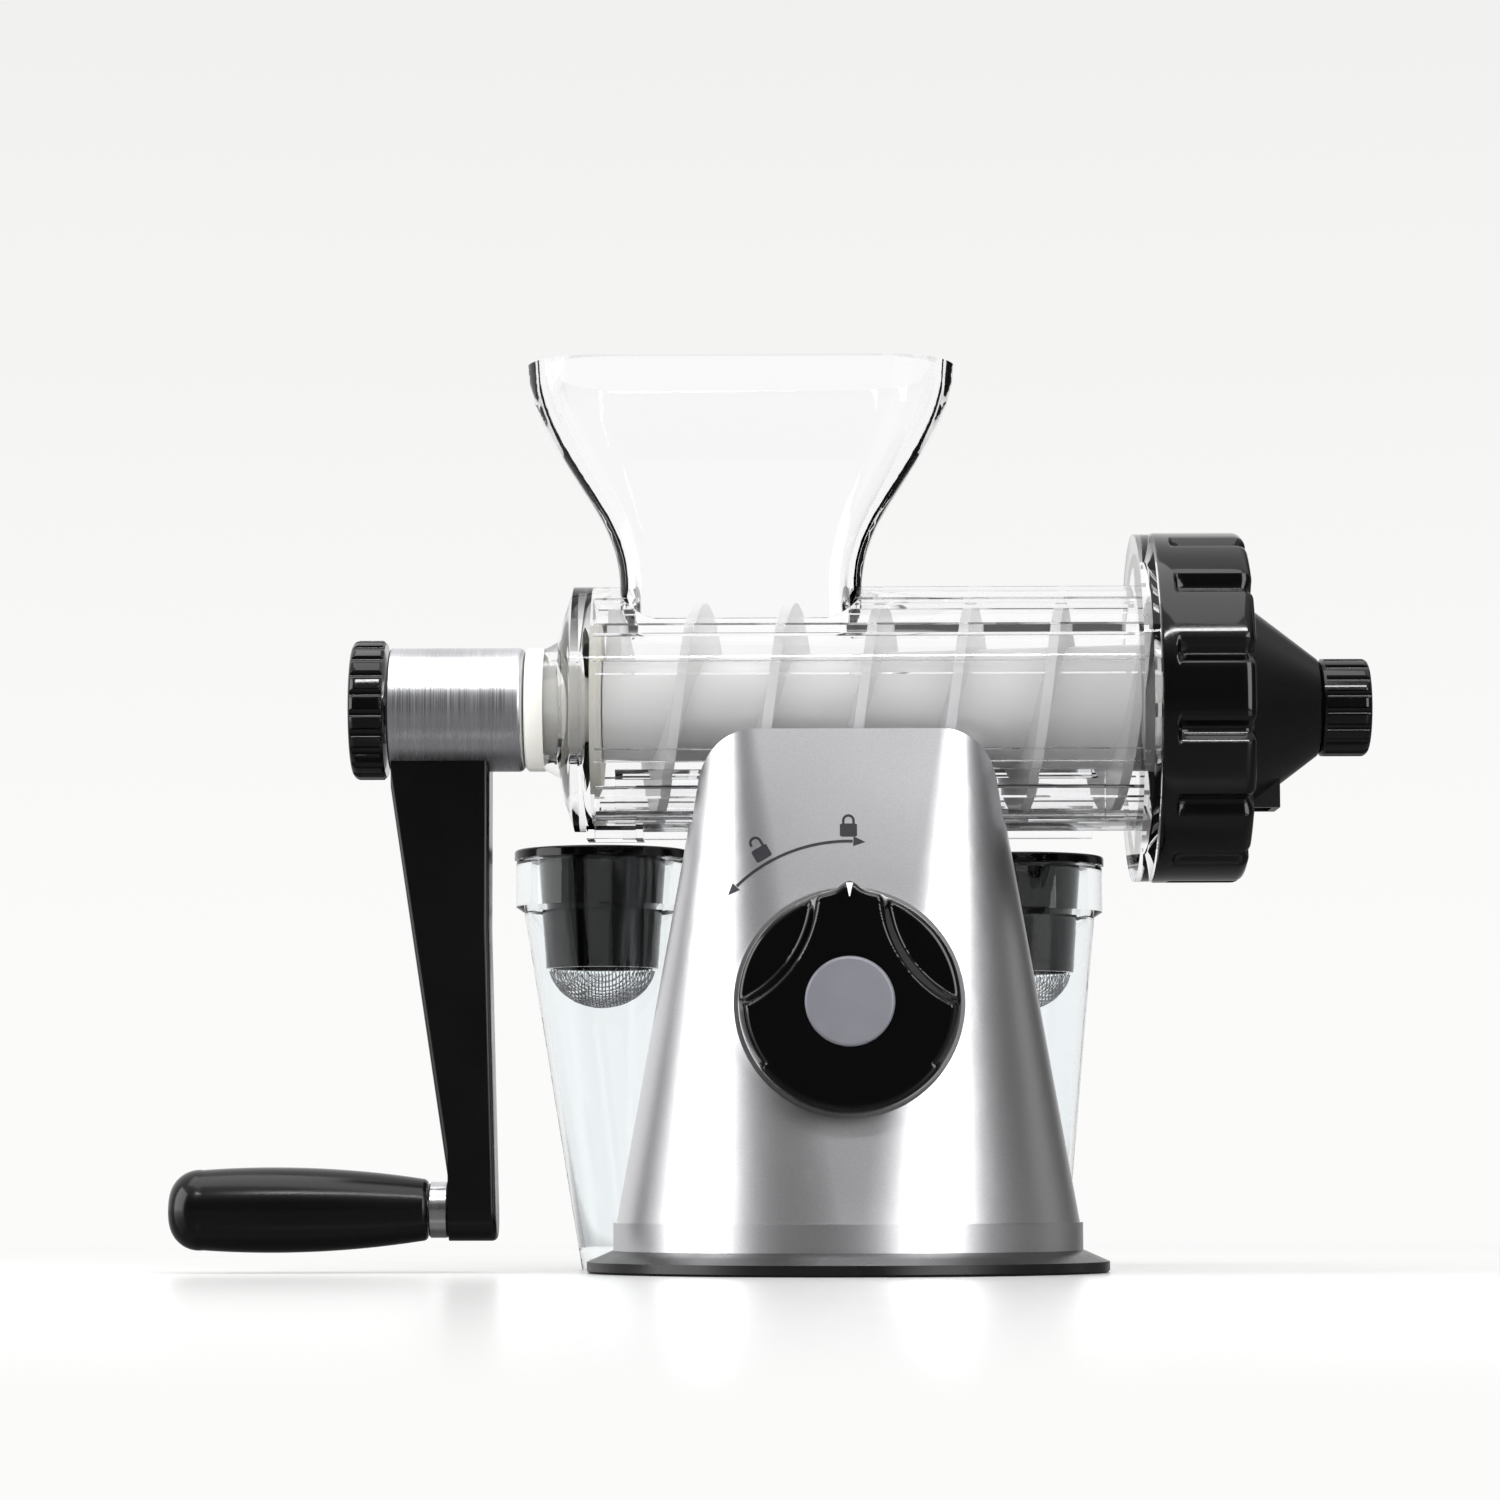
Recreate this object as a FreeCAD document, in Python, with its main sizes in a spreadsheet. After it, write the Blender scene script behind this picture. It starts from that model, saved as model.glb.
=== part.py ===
import FreeCAD, Part
import math
import os
import Sketcher
from FreeCAD import Vector

# Hand-cranked juicer with a suction base, a clear barrel with a hopper, an auger and two strainer cups.
# Frame: origin on the table under the middle of the base, +X to the cone end, +Y away from the knob, +Z up.

doc = FreeCAD.newDocument("Juicer")
sheet = doc.addObject("Spreadsheet::Sheet", "Sizes")

SIZES = {
    # Barrel
    "axis_height": 149.3,
    "barrel_radius": 32.7,
    "bore_radius": 29.9,
    "barrel_back": -72.3,
    "barrel_front": 76.3,
    "rib_count": 16,
    "rib_width": 3.4,
    "rib_rise": 1.2,
    "rib_phase": 7,
    "rear_shoulder": 25.6,
    "rear_dome": 2.4,
    "rear_step": 1.9,
    "collar_radius": 16.2,
    "collar_length": 3.6,
    "rear_wall": 3.0,
    "flange_radius": 46.3,
    "flange_thickness": 4.5,
    "neck_radius": 41.1,
    "neck_bore": 37.7,
    "neck_length": 16.0,
    # Hopper
    "hopper_middle": -27.8,
    "hopper_top": 240,
    "hopper_neck_height": 182,
    "hopper_neck_length": 32,
    "hopper_neck_depth": 24.6,
    "hopper_rim_length": 56.8,
    "hopper_rim_depth": 29.6,
    "hopper_wall": 3.3,
    "hopper_lip": 5.2,
    "hopper_neck_corner": 11,
    "hopper_rim_corner": 20,
    # Spout and rails
    "spout_left": -68.9,
    "spout_length": 15,
    "spout_width": 16,
    "spout_drop": 35,
    "spout_wall": 2,
    "rail_left": -60.5,
    "rail_right": 67,
    "rail_spread": 29,
    "rail_width": 4,
    "rail_rise": 14,
    "tongue_length": 24,
    "tongue_width": 20,
    "tongue_depth": 12,
    # Base
    "foot_top": 5.8,
    "band_top": 13.1,
    "band_radius": 61.9,
    "skirt_radius": 60.9,
    "skirt_corner": 58,
    "crown_length": 36.9,
    "crown_depth": 41,
    "crown_corner": 13,
    "crown_height": 140,
    "crown_flat": 24,
    "shoulder_round": 15,
    "housing_wall": 2.6,
    "deck_thickness": 5,
    "saddle_gap": 0.4,
    "foot_radius": 68.9,
    "foot_shoulder": 62.3,
    "foot_lip": 2.9,
    "foot_ring": 62,
    "membrane": 2.6,
    "foot_boss": 8,
    "foot_boss_rise": 6,
    "plate_thickness": 3,
    "plate_well": 10.5,
    "well_top": 20,
    "guide_top": 32,
    "guide_radius": 13,
    "screw_circle": 51,
    "screw_radius": 1.6,
    "screw_head": 3.2,
    "screw_head_height": 1.8,
    "screw_length": 12,
    "post_radius": 4.5,
    "post_height": 14,
    # Suction knob
    "knob_height": 68.9,
    "knob_radius": 28.2,
    "knob_seat": 52,
    "knob_face": 63.4,
    "knob_round": 2.4,
    "scoop_radius": 29.8,
    "scoop_side": 37,
    "scoop_height": 24,
    "scoop_depth": 5.2,
    "pointer_width": 5,
    "pointer_rise": 2.3,
    "cap_radius": 11.4,
    "cap_depth": 3.6,
    "cap_proud": 0.9,
    "shaft_radius": 4,
    "shaft_back": 15.5,
    "cam_radius": 8,
    "cam_throw": 4.73,
    "cam_angle": 25,
    "cam_width": 6,
    "yoke_wall": 3,
    "yoke_width": 7,
    "rod_radius": 4,
    "rod_pad": 8,
    "bush_radius": 6.2,
    "bush_flange": 9,
    "bearing_depth": 12,
    "post_back": 8,
    "post_thickness": 5,
    # Auger and shaft
    "flight_radius": 28.2,
    "flight_pitch": 24,
    "flight_start": -62,
    "flight_end": 82,
    "flight_root": 5,
    "flight_tip": 2.6,
    "core_back": 13,
    "core_front": 17,
    "journal_radius": 8,
    "nose_end": 92,
    "nose_radius": 9,
    "square_side": 9,
    "stud_radius": 4,
    # Crank
    "hub_radius": 16.5,
    "hub_left": -121.5,
    "hub_right": -85.5,
    "hub_round": 1.6,
    "crank_radius": 132.7,
    "arm_top_left": -120.8,
    "arm_top_right": -94.6,
    "arm_low_left": -105.2,
    "arm_low_right": -92.3,
    "arm_depth": 8.2,
    "arm_round": 1.6,
    "tenon_length": 14,
    "tenon_width": 8,
    "tenon_depth": 9,
    "knob_ring_left": -131.5,
    "knob_ring_radius": 18.6,
    "knob_ring_lobes": 22,
    "washer_radius": 9,
    "washer_thickness": 0.6,
    "axle_radius": 3,
    "ferrule_radius": 7.4,
    "ferrule_length": 5.2,
    "grip_left": -179.3,
    "grip_thick": 10.6,
    "grip_thin": 8.2,
    "clip_thickness": 1,
    # Cone end
    "ring_radius": 46.6,
    "ring_front": 105.3,
    "ring_skirt": 3.8,
    "ring_lobes": 14,
    "ring_round": 3,
    "lobe_cutter": 4.6,
    "lobe_depth": 2.2,
    "cone_base": 28.1,
    "cone_start": 105.3,
    "cone_tip": 125.2,
    "cone_tip_radius": 13,
    "cone_wall": 3,
    "cap_flange": 3,
    "gasket_thickness": 1,
    "chute_length": 9,
    "chute_width": 15,
    "chute_drop": 27.2,
    "tip_end": 138.9,
    "tip_radius": 13,
    "tip_flutes": 18,
    "screw_stem": 3,
    "plug_radius": 12,
    "plug_length": 6,
    # Cups
    "cup_top": 113,
    "cup_collar": 14.4,
    "cup_collar_radius": 24,
    "cup_shoulder_radius": 21.7,
    "cup_foot_radius": 13,
    "cup_lean": 7.5,
    "cup_wall": 1.8,
    "cup_floor": 6,
    "cup_recess": 3,
    "left_cup_across": -67.5,
    "left_cup_away": 60,
    "right_cup_across": 49.9,
    "right_cup_away": 90,
    "strainer_flange": 24.5,
    "strainer_flange_height": 2.6,
    "strainer_top_radius": 17.6,
    "strainer_low_radius": 15.6,
    "strainer_drop": 30,
    "strainer_wall": 1.8,
    "mesh_sag": 11,
    "mesh_gauge": 0.6,
    # Clearances
    "running_fit": 0.05,
    "side_gap": 0.3,
}

for row, (alias, number) in enumerate(SIZES.items(), start=1):
    sheet.set(f"A{row}", alias.replace("_", " "))
    sheet.set(f"B{row}", str(number))
    sheet.setAlias(f"B{row}", alias)
doc.recompute()


class Size:
    """A length kept as a number together with the sheet expression that gives it."""

    def __init__(self, number, text):
        self.number = float(number)
        self.text = text

    def __add__(self, other):
        other = as_size(other)
        return Size(self.number + other.number, f"({self.text} + {other.text})")

    def __sub__(self, other):
        other = as_size(other)
        return Size(self.number - other.number, f"({self.text} - {other.text})")

    def __mul__(self, other):
        other = as_size(other)
        return Size(self.number * other.number, f"({self.text} * {other.text})")

    def __truediv__(self, other):
        other = as_size(other)
        return Size(self.number / other.number, f"({self.text} / {other.text})")

    def __neg__(self):
        return Size(-self.number, f"(0 - {self.text})")

    __radd__ = __add__

    def __rsub__(self, other):
        return as_size(other) - self

    def __rmul__(self, other):
        return self * other


def as_size(value):
    return value if isinstance(value, Size) else Size(value, f"{float(value)}")


def size(alias):
    return Size(sheet.get(alias), f"Sizes.{alias}")


def sine(angle):
    return Size(math.sin(math.radians(angle.number)), f"sin({angle.text} * 1 deg)")


def cosine(angle):
    return Size(math.cos(math.radians(angle.number)), f"cos({angle.text} * 1 deg)")


# Helpers for bodies, sketches and features


def new_body(name, x=None, y=None, z=None):
    body = doc.addObject("PartDesign::Body", name)
    body.Label = name
    for letter, place in (("x", x), ("y", y), ("z", z)):
        if place is not None:
            body.setExpression(f"Placement.Base.{letter}", as_size(place).text)
    return body


def new_sketch(body, name, plane, offset=None):
    sketch = body.newObject("Sketcher::SketchObject", name)
    origin_plane = [f for f in body.Origin.OriginFeatures if f.Role == f"{plane}_Plane"][0]
    sketch.AttachmentSupport = (origin_plane, [""])
    sketch.MapMode = "FlatFace"
    if offset is not None:
        sketch.setExpression("AttachmentOffset.Base.z", as_size(offset).text)
    return sketch


def pin_point(sketch, edge, end, x, y):
    """Hold one end of an edge at (x, y), each bound to the sheet."""
    for kind, axis, value in (("DistanceX", -2, x), ("DistanceY", -1, y)):
        if value.text == "0.0":
            sketch.addConstraint(Sketcher.Constraint("PointOnObject", edge, end, axis))
        else:
            index = sketch.addConstraint(Sketcher.Constraint(kind, -1, 1, edge, end, value.number))
            sketch.setExpression(f"Constraints[{index}]", value.text)


def draw_outline(sketch, points):
    """A closed outline of (x, y) corners; (x, y, radius) bends the next edge, left turn when positive."""
    corners = [tuple(as_size(v) for v in point) for point in points]
    ends = []
    for index, corner in enumerate(corners):
        after = corners[(index + 1) % len(corners)]
        start = Vector(corner[0].number, corner[1].number, 0)
        stop = Vector(after[0].number, after[1].number, 0)
        if len(corner) == 2:
            sketch.addGeometry(Part.LineSegment(start, stop))
            ends.append((1, 2))
            continue
        bend = corner[2].number
        chord = stop - start
        left = Vector(-chord.y, chord.x, 0).normalize()
        rise = math.sqrt(max(bend * bend - chord.Length ** 2 / 4, 0))
        centre = (start + stop) / 2 + left * math.copysign(rise, bend)
        first, last = (start, stop) if bend > 0 else (stop, start)
        turn_from = math.atan2(first.y - centre.y, first.x - centre.x)
        turn_to = math.atan2(last.y - centre.y, last.x - centre.x)
        if turn_to < turn_from:
            turn_to += 2 * math.pi
        ring = Part.Circle(centre, Vector(0, 0, 1), abs(bend))
        sketch.addGeometry(Part.ArcOfCircle(ring, turn_from, turn_to))
        ends.append((1, 2) if bend > 0 else (2, 1))
    count = len(corners)
    for index in range(count):
        after = (index + 1) % count
        sketch.addConstraint(
            Sketcher.Constraint("Coincident", index, ends[index][1], after, ends[after][0])
        )
    for index, corner in enumerate(corners):
        pin_point(sketch, index, ends[index][0], corner[0], corner[1])
        if len(corner) == 3:
            reach = corner[2] if corner[2].number > 0 else -corner[2]
            row = sketch.addConstraint(Sketcher.Constraint("Radius", index, reach.number))
            sketch.setExpression(f"Constraints[{row}]", reach.text)


def draw_circle(sketch, x, y, radius):
    x, y, radius = as_size(x), as_size(y), as_size(radius)
    centre = Vector(x.number, y.number, 0)
    edge = sketch.addGeometry(Part.Circle(centre, Vector(0, 0, 1), radius.number))
    row = sketch.addConstraint(Sketcher.Constraint("Radius", edge, radius.number))
    sketch.setExpression(f"Constraints[{row}]", radius.text)
    pin_point(sketch, edge, 3, x, y)


def outline(body, name, plane, points, offset=None):
    sketch = new_sketch(body, name, plane, offset)
    draw_outline(sketch, points)
    return sketch


def circle(body, name, plane, x, y, radius, offset=None):
    sketch = new_sketch(body, name, plane, offset)
    draw_circle(sketch, x, y, radius)
    return sketch


def rectangle(x_low, y_low, x_high, y_high):
    return [(x_low, y_low), (x_high, y_low), (x_high, y_high), (x_low, y_high)]


def turn(body, sketch, axis, cut=False):
    """Turn a sketch about its own H or V axis, as a solid or as a cut."""
    feature = body.newObject("PartDesign::Groove" if cut else "PartDesign::Revolution", "turned")
    feature.Profile = sketch
    feature.ReferenceAxis = (sketch, [f"{axis}_Axis"])
    feature.Angle = 360
    doc.recompute()
    return feature


def extrude(body, sketch, length, cut=False, reverse=False, middle=False):
    """Pad or cut a sketch along its normal; reverse goes the other way, middle goes both ways."""
    feature = body.newObject("PartDesign::Pocket" if cut else "PartDesign::Pad", "extruded")
    feature.Profile = sketch
    feature.setExpression("Length", as_size(length).text)
    feature.Midplane = middle
    feature.Reversed = reverse != cut
    before = 0 if body.Shape.isNull() else body.Shape.Volume
    doc.recompute()
    after = feature.Shape.Volume
    if (after < before) != cut or abs(after - before) < 0.01:
        raise RuntimeError(f"{body.Label} {sketch.Label} moved nothing: {before} to {after}")
    return feature


def pattern_round(body, feature, sketch, axis, count):
    pattern = body.newObject("PartDesign::PolarPattern", "around")
    pattern.Originals = [feature]
    pattern.Axis = (sketch, [axis])
    pattern.Angle = 360
    pattern.setExpression("Occurrences", as_size(count).text)
    body.Tip = pattern
    doc.recompute()
    return pattern


def fillet(body, feature, radius, wanted):
    """Round the edges of a feature for which wanted(edge) is true."""
    names = [f"Edge{n}" for n, edge in enumerate(feature.Shape.Edges, start=1) if wanted(edge)]
    rounded = body.newObject("PartDesign::Fillet", "rounded")
    rounded.Base = (feature, names)
    rounded.setExpression("Radius", as_size(radius).text)
    doc.recompute()
    return rounded


def near(value, wanted, slack=0.05):
    return abs(value - as_size(wanted).number) < slack


def on_axis(name, z=None):
    """A body whose own X axis is the barrel's axis, or the given height."""
    return new_body(name, z=size("axis_height") if z is None else z)


# Base housing: a tapered shell with a saddle for the barrel and a seat for the knob


def base_housing():
    body = new_body("base_housing")
    foot_top, crown = size("foot_top"), size("crown_height")
    floor = saddle_floor()
    wall = size("housing_wall")
    band = circle(body, "band", "XY", 0, 0, size("band_radius"), offset=foot_top)
    extrude(body, band, size("band_top") - foot_top)
    loft_between(body, "cone", size("band_top"), crown, 0)
    deck = floor - size("deck_thickness")
    hollow = circle(body, "band_hollow", "XY", 0, 0, size("skirt_radius") - wall, offset=foot_top)
    extrude(body, hollow, size("band_top") - foot_top + 0.01, cut=True)
    loft_between(body, "hollow", size("band_top"), deck, wall)
    # Knob seat: a flat round boss with a bearing tube behind it
    seat, seat_radius = size("knob_seat"), size("knob_radius") + size("side_gap") * 4
    height = size("knob_height")
    boss = circle(body, "seat", "XZ", 0, height, seat_radius, offset=seat)
    boss_back = taper("depth", height + seat_radius) - wall
    extrude(body, boss, seat - boss_back, reverse=True)
    relief = circle(body, "seat_back", "XZ", 0, height, seat_radius - wall, offset=seat - wall)
    extrude(body, relief, seat - wall - boss_back, cut=True, reverse=True)
    face = circle(body, "seat_front", "XZ", 0, height, seat_radius, offset=seat)
    extrude(body, face, size("band_radius") - seat, cut=True)
    tube = circle(body, "bearing", "XZ", 0, height, size("bush_radius") + wall, offset=seat)
    extrude(body, tube, size("bearing_depth"), reverse=True)
    hole = circle(body, "bearing_hole", "XZ", 0, height, size("bush_radius"), offset=seat)
    extrude(body, hole, size("bearing_depth"), cut=True, reverse=True)
    # Four screw posts that stand on the closing plate
    post_low = foot_top + size("plate_thickness")
    post = circle(body, "post", "XY", size("screw_circle"), 0, size("post_radius"), offset=post_low)
    draw = extrude(body, post, size("post_height"))
    web = outline(body, "post_web", "XY", rectangle(
        size("screw_circle"), -1, size("skirt_radius") - wall + 0.5, 1
    ), offset=post_low)
    web_pad = extrude(body, web, size("post_height"))
    pilot = circle(body, "pilot", "XY", size("screw_circle"), 0, size("screw_radius"), offset=post_low)
    pilot_cut = extrude(body, pilot, size("post_height") - 2, cut=True)
    pattern = body.newObject("PartDesign::PolarPattern", "posts_around")
    pattern.Originals = [draw, web_pad, pilot_cut]
    pattern.Axis = (post, ["N_Axis"])
    pattern.Angle = 360
    pattern.Occurrences = 4
    body.Tip = pattern
    doc.recompute()
    # Saddle: the barrel's round, the straight sides for its rails and the hole for its tongue
    gap = size("saddle_gap")
    through = size("band_radius") * 2
    round_cut = circle(body, "saddle", "YZ", 0, size("axis_height"), size("barrel_radius") + gap)
    extrude(body, round_cut, through, cut=True, middle=True)
    side = size("rail_spread") + gap
    sides = outline(body, "saddle_sides", "YZ", rectangle(-side, floor, side, crown + 1))
    extrude(body, sides, through, cut=True, middle=True)
    half_long = size("tongue_length") / 2 + gap
    half_wide = size("tongue_width") / 2 + gap
    slot = outline(body, "tongue_slot", "XY", rectangle(
        -half_long, -half_wide, half_long, half_wide
    ), offset=deck - 1)
    extrude(body, slot, size("deck_thickness") + 2, cut=True)
    # Rounded shoulders of the two saddle walls
    for side_name, way in (("left", -1), ("right", 1)):
        flat, corner = size("crown_flat"), size("shoulder_round")
        drop = crown - corner
        edge = flat + corner
        shoulder = outline(body, f"shoulder_{side_name}", "XZ", [
            (flat * way, crown, corner * -way),
            (edge * way, drop),
            (size("band_radius") * way, drop),
            (size("band_radius") * way, crown + 1),
            (flat * way, crown + 1),
        ])
        extrude(body, shoulder, through, cut=True, middle=True)
    return body


def taper(kind, height):
    """Half length, half depth or corner radius of the housing's plan at a height."""
    low = size("skirt_corner") if kind == "corner" else size("skirt_radius")
    fall = low - size(f"crown_{kind}")
    rise = size("crown_height") - size("band_top")
    return low - fall * (height - size("band_top")) / rise


def rounded_points(half_long, half_deep, corner):
    """Outline points of a rounded rectangle round the sketch's origin."""
    flat_long, flat_deep = half_long - corner, half_deep - corner
    return [
        (half_long, -flat_deep),
        (half_long, flat_deep, corner),
        (flat_long, half_deep),
        (-flat_long, half_deep, corner),
        (-half_long, flat_deep),
        (-half_long, -flat_deep, corner),
        (-flat_long, -half_deep),
        (flat_long, -half_deep, corner),
    ]


def loft_between(body, name, low, high, inset):
    """The housing's tapered form between two heights: solid with no inset, otherwise cut away."""
    plans = []
    for end, height in (("low", low), ("high", high)):
        plans.append(outline(body, f"{name}_{end}", "XY", rounded_points(
            taper("length", height) - inset,
            taper("depth", height) - inset,
            taper("corner", height) - inset,
        ), offset=height))
    kind = "SubtractiveLoft" if as_size(inset).number else "AdditiveLoft"
    loft = body.newObject(f"PartDesign::{kind}", name)
    loft.Profile = plans[0]
    loft.Sections = [plans[1]]
    loft.Ruled = True
    doc.recompute()
    return loft


def saddle_floor():
    return size("axis_height") - size("barrel_radius") - size("side_gap")


def base_plate():
    body = new_body("base_plate")
    low = size("foot_top")
    top = low + size("plate_thickness")
    rim = size("skirt_radius") - size("housing_wall") - size("side_gap") / 3
    bore = size("rod_radius") + size("running_fit") * 2
    profile = outline(body, "plate", "XZ", [
        (size("plate_well"), low),
        (rim, low),
        (rim, top),
        (size("guide_radius"), top),
        (size("guide_radius"), size("guide_top")),
        (bore, size("guide_top")),
        (bore, size("well_top")),
        (size("plate_well"), size("well_top")),
    ])
    turn(body, profile, "V")
    half = size("shaft_radius") + 5
    post = outline(body, "shaft_post", "XZ", rectangle(
        -half, top - 1, half, size("knob_height") + half
    ), offset=-size("post_back") - size("post_thickness"))
    extrude(body, post, size("post_thickness"))
    bearing = circle(
        body, "shaft_hole", "XZ", 0, size("knob_height"),
        size("shaft_radius") + size("running_fit"), offset=-size("post_back") - size("post_thickness"),
    )
    extrude(body, bearing, size("post_thickness"), cut=True)
    hole = circle(
        body, "screw_hole", "XY", size("screw_circle"), 0, size("screw_radius") + 0.2, offset=low
    )
    cut = extrude(body, hole, size("plate_thickness"), cut=True)
    recess = circle(
        body, "screw_recess", "XY", size("screw_circle"), 0, size("screw_head") + 0.2, offset=low
    )
    sunk = extrude(body, recess, size("screw_head_height"), cut=True)
    pattern = body.newObject("PartDesign::PolarPattern", "holes_around")
    pattern.Originals = [cut, sunk]
    pattern.Axis = (hole, ["N_Axis"])
    pattern.Angle = 360
    pattern.Occurrences = 4
    body.Tip = pattern
    return body


def base_screws():
    """Four pan-head screws, heads sunk in the plate."""
    number = {name: size(name).number for name in (
        "foot_top", "screw_radius", "screw_head", "screw_head_height", "screw_length", "screw_circle"
    )}
    screws = []
    for quarter in range(4):
        angle = math.radians(90 * quarter)
        foot = Vector(
            number["screw_circle"] * math.cos(angle),
            number["screw_circle"] * math.sin(angle),
            number["foot_top"],
        )
        head = Part.makeCylinder(number["screw_head"], number["screw_head_height"], foot)
        shank = Part.makeCylinder(number["screw_radius"], number["screw_length"], foot)
        screws.append(head.fuse(shank).removeSplitter())
    feature = doc.addObject("Part::Feature", "base_screws")
    feature.Label = "base_screws"
    feature.Shape = Part.makeCompound(screws)
    return feature


def suction_foot():
    body = new_body("suction_foot")
    top = size("foot_top")
    under = top - size("membrane")
    ring = size("foot_ring")
    profile = outline(body, "rubber", "XZ", [
        (0, under),
        (ring - 8, under),
        (ring, 0),
        (size("foot_radius") - 0.6, 0),
        (size("foot_radius"), 0.6),
        (size("foot_radius"), size("foot_lip")),
        (size("foot_shoulder"), top),
        (size("foot_boss"), top),
        (size("foot_boss"), top + size("foot_boss_rise")),
        (0, top + size("foot_boss_rise")),
    ])
    turn(body, profile, "V")
    return body


def yoke_middle():
    return size("knob_height") + size("cam_throw") * sine(size("cam_angle"))


def lifter_rod():
    body = new_body("lifter_rod")
    low = size("foot_top") + size("foot_boss_rise") + size("side_gap")
    half_tall = size("cam_radius") + size("running_fit") * 3
    half_wide = size("cam_radius") + size("cam_throw") + size("side_gap")
    wall = size("yoke_wall")
    middle = yoke_middle()
    rod = outline(body, "rod", "XZ", [
        (0, low),
        (size("rod_pad"), low),
        (size("rod_pad"), low + 2),
        (size("rod_radius"), low + 4),
        (size("rod_radius"), middle - half_tall - wall + 1),
        (0, middle - half_tall - wall + 1),
    ])
    turn(body, rod, "V")
    frame = new_sketch(body, "yoke", "XZ")
    draw_outline(frame, rectangle(
        -half_wide - wall, middle - half_tall - wall, half_wide + wall, middle + half_tall + wall
    ))
    extrude(body, frame, size("yoke_width"), middle=True)
    window = outline(body, "yoke_window", "XZ", rectangle(
        -half_wide, middle - half_tall, half_wide, middle + half_tall
    ))
    extrude(body, window, size("yoke_width") + 2, cut=True, middle=True)
    return body


def cam_shaft():
    body = on_axis("cam_shaft", size("knob_height"))
    radius = size("shaft_radius")
    front = -shaft_front()
    rod = outline(body, "shaft", "YZ", rectangle(front, 0, size("shaft_back"), radius))
    turn(body, rod, "H")
    across = -size("cam_throw") * cosine(size("cam_angle"))
    up = size("cam_throw") * sine(size("cam_angle"))
    cam = circle(body, "cam", "XZ", across, up, size("cam_radius"))
    extrude(body, cam, size("cam_width"), middle=True)
    tapped = circle(body, "tapped_hole", "XZ", 0, 0, size("screw_radius"), offset=-front)
    extrude(body, tapped, 8, cut=True, reverse=True)
    return body


def shaft_front():
    """How far the shaft's front end stands from the middle plane, under the knob screw's head."""
    return size("knob_face") - size("cap_depth") + size("cap_proud") - 3


def shaft_bush():
    body = on_axis("shaft_bush", size("knob_height"))
    seat = -size("knob_seat")
    bore = size("shaft_radius") + size("running_fit")
    profile = outline(body, "bush", "YZ", [
        (seat - 1, bore),
        (seat + size("bearing_depth"), bore),
        (seat + size("bearing_depth"), size("bush_radius")),
        (seat, size("bush_radius")),
        (seat, size("bush_flange")),
        (seat - 1, size("bush_flange")),
    ])
    turn(body, profile, "H")
    return body


def suction_knob():
    body = on_axis("suction_knob", size("knob_height"))
    back = -size("knob_seat") - size("side_gap") * 2
    face = -size("knob_face")
    shelf = face + size("cap_depth") - size("cap_proud")
    radius, edge = size("knob_radius"), size("knob_round")
    profile = outline(body, "disc", "YZ", [
        (face, size("cap_radius") + 0.2),
        (face, radius - edge, -edge),
        (face + edge, radius),
        (back - 1, radius),
        (back, radius - 1),
        (back, size("bush_flange") + 1),
        (back - 2, size("bush_flange") + 1),
        (back - 2, size("shaft_radius")),
        (-shaft_front(), size("shaft_radius")),
        (-shaft_front(), size("cap_radius") - 4),
        (shelf, size("cap_radius") - 4),
        (shelf, size("cap_radius") + 0.2),
    ])
    turn(body, profile, "H")
    half = size("pointer_width") / 2
    bump = outline(body, "pointer", "XZ", [
        (-half - 1.5, radius - 3),
        (half + 1.5, radius - 3),
        (half, radius + size("pointer_rise")),
        (-half, radius + size("pointer_rise")),
    ], offset=-face - 1.5)
    extrude(body, bump, 6, reverse=True)
    for side_name, way in (("left", -1), ("right", 1)):
        scoop = circle(
            body, f"scoop_{side_name}", "XZ", size("scoop_side") * way, size("scoop_height"),
            size("scoop_radius"), offset=-face - size("scoop_depth"),
        )
        extrude(body, scoop, size("scoop_depth") + 1, cut=True)
    return body


def knob_cap():
    body = on_axis("knob_cap", size("knob_height"))
    front = -size("knob_face") - size("cap_proud")
    back = front + size("cap_depth")
    radius = size("cap_radius")
    profile = outline(body, "cap", "YZ", [
        (front, 0),
        (back, 0),
        (back, radius),
        (front + 1, radius, 1),
        (front, radius - 1),
    ])
    turn(body, profile, "H")
    return body


def knob_screw():
    body = on_axis("knob_screw", size("knob_height"))
    under = -shaft_front()
    profile = outline(body, "screw", "YZ", [
        (under - 2.4, 0),
        (under + 7, 0),
        (under + 7, size("screw_radius")),
        (under, size("screw_radius")),
        (under, size("cap_radius") - 5),
        (under - 1.6, size("cap_radius") - 5),
        (under - 2.4, size("cap_radius") - 6),
    ])
    turn(body, profile, "H")
    return body


def ring_on_shaft(name, plane, low, thickness, inner, outer, z):
    """A flat ring turned about the sketch's horizontal axis."""
    body = on_axis(name, z)
    profile = outline(body, "ring", plane, rectangle(low, inner, low + thickness, outer))
    turn(body, profile, "H")
    return body


# Clear barrel with its hopper, ribs, spout and rails


def bore_front():
    return size("barrel_front") + size("flange_thickness")


def neck_front():
    return bore_front() + size("neck_length")


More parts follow.
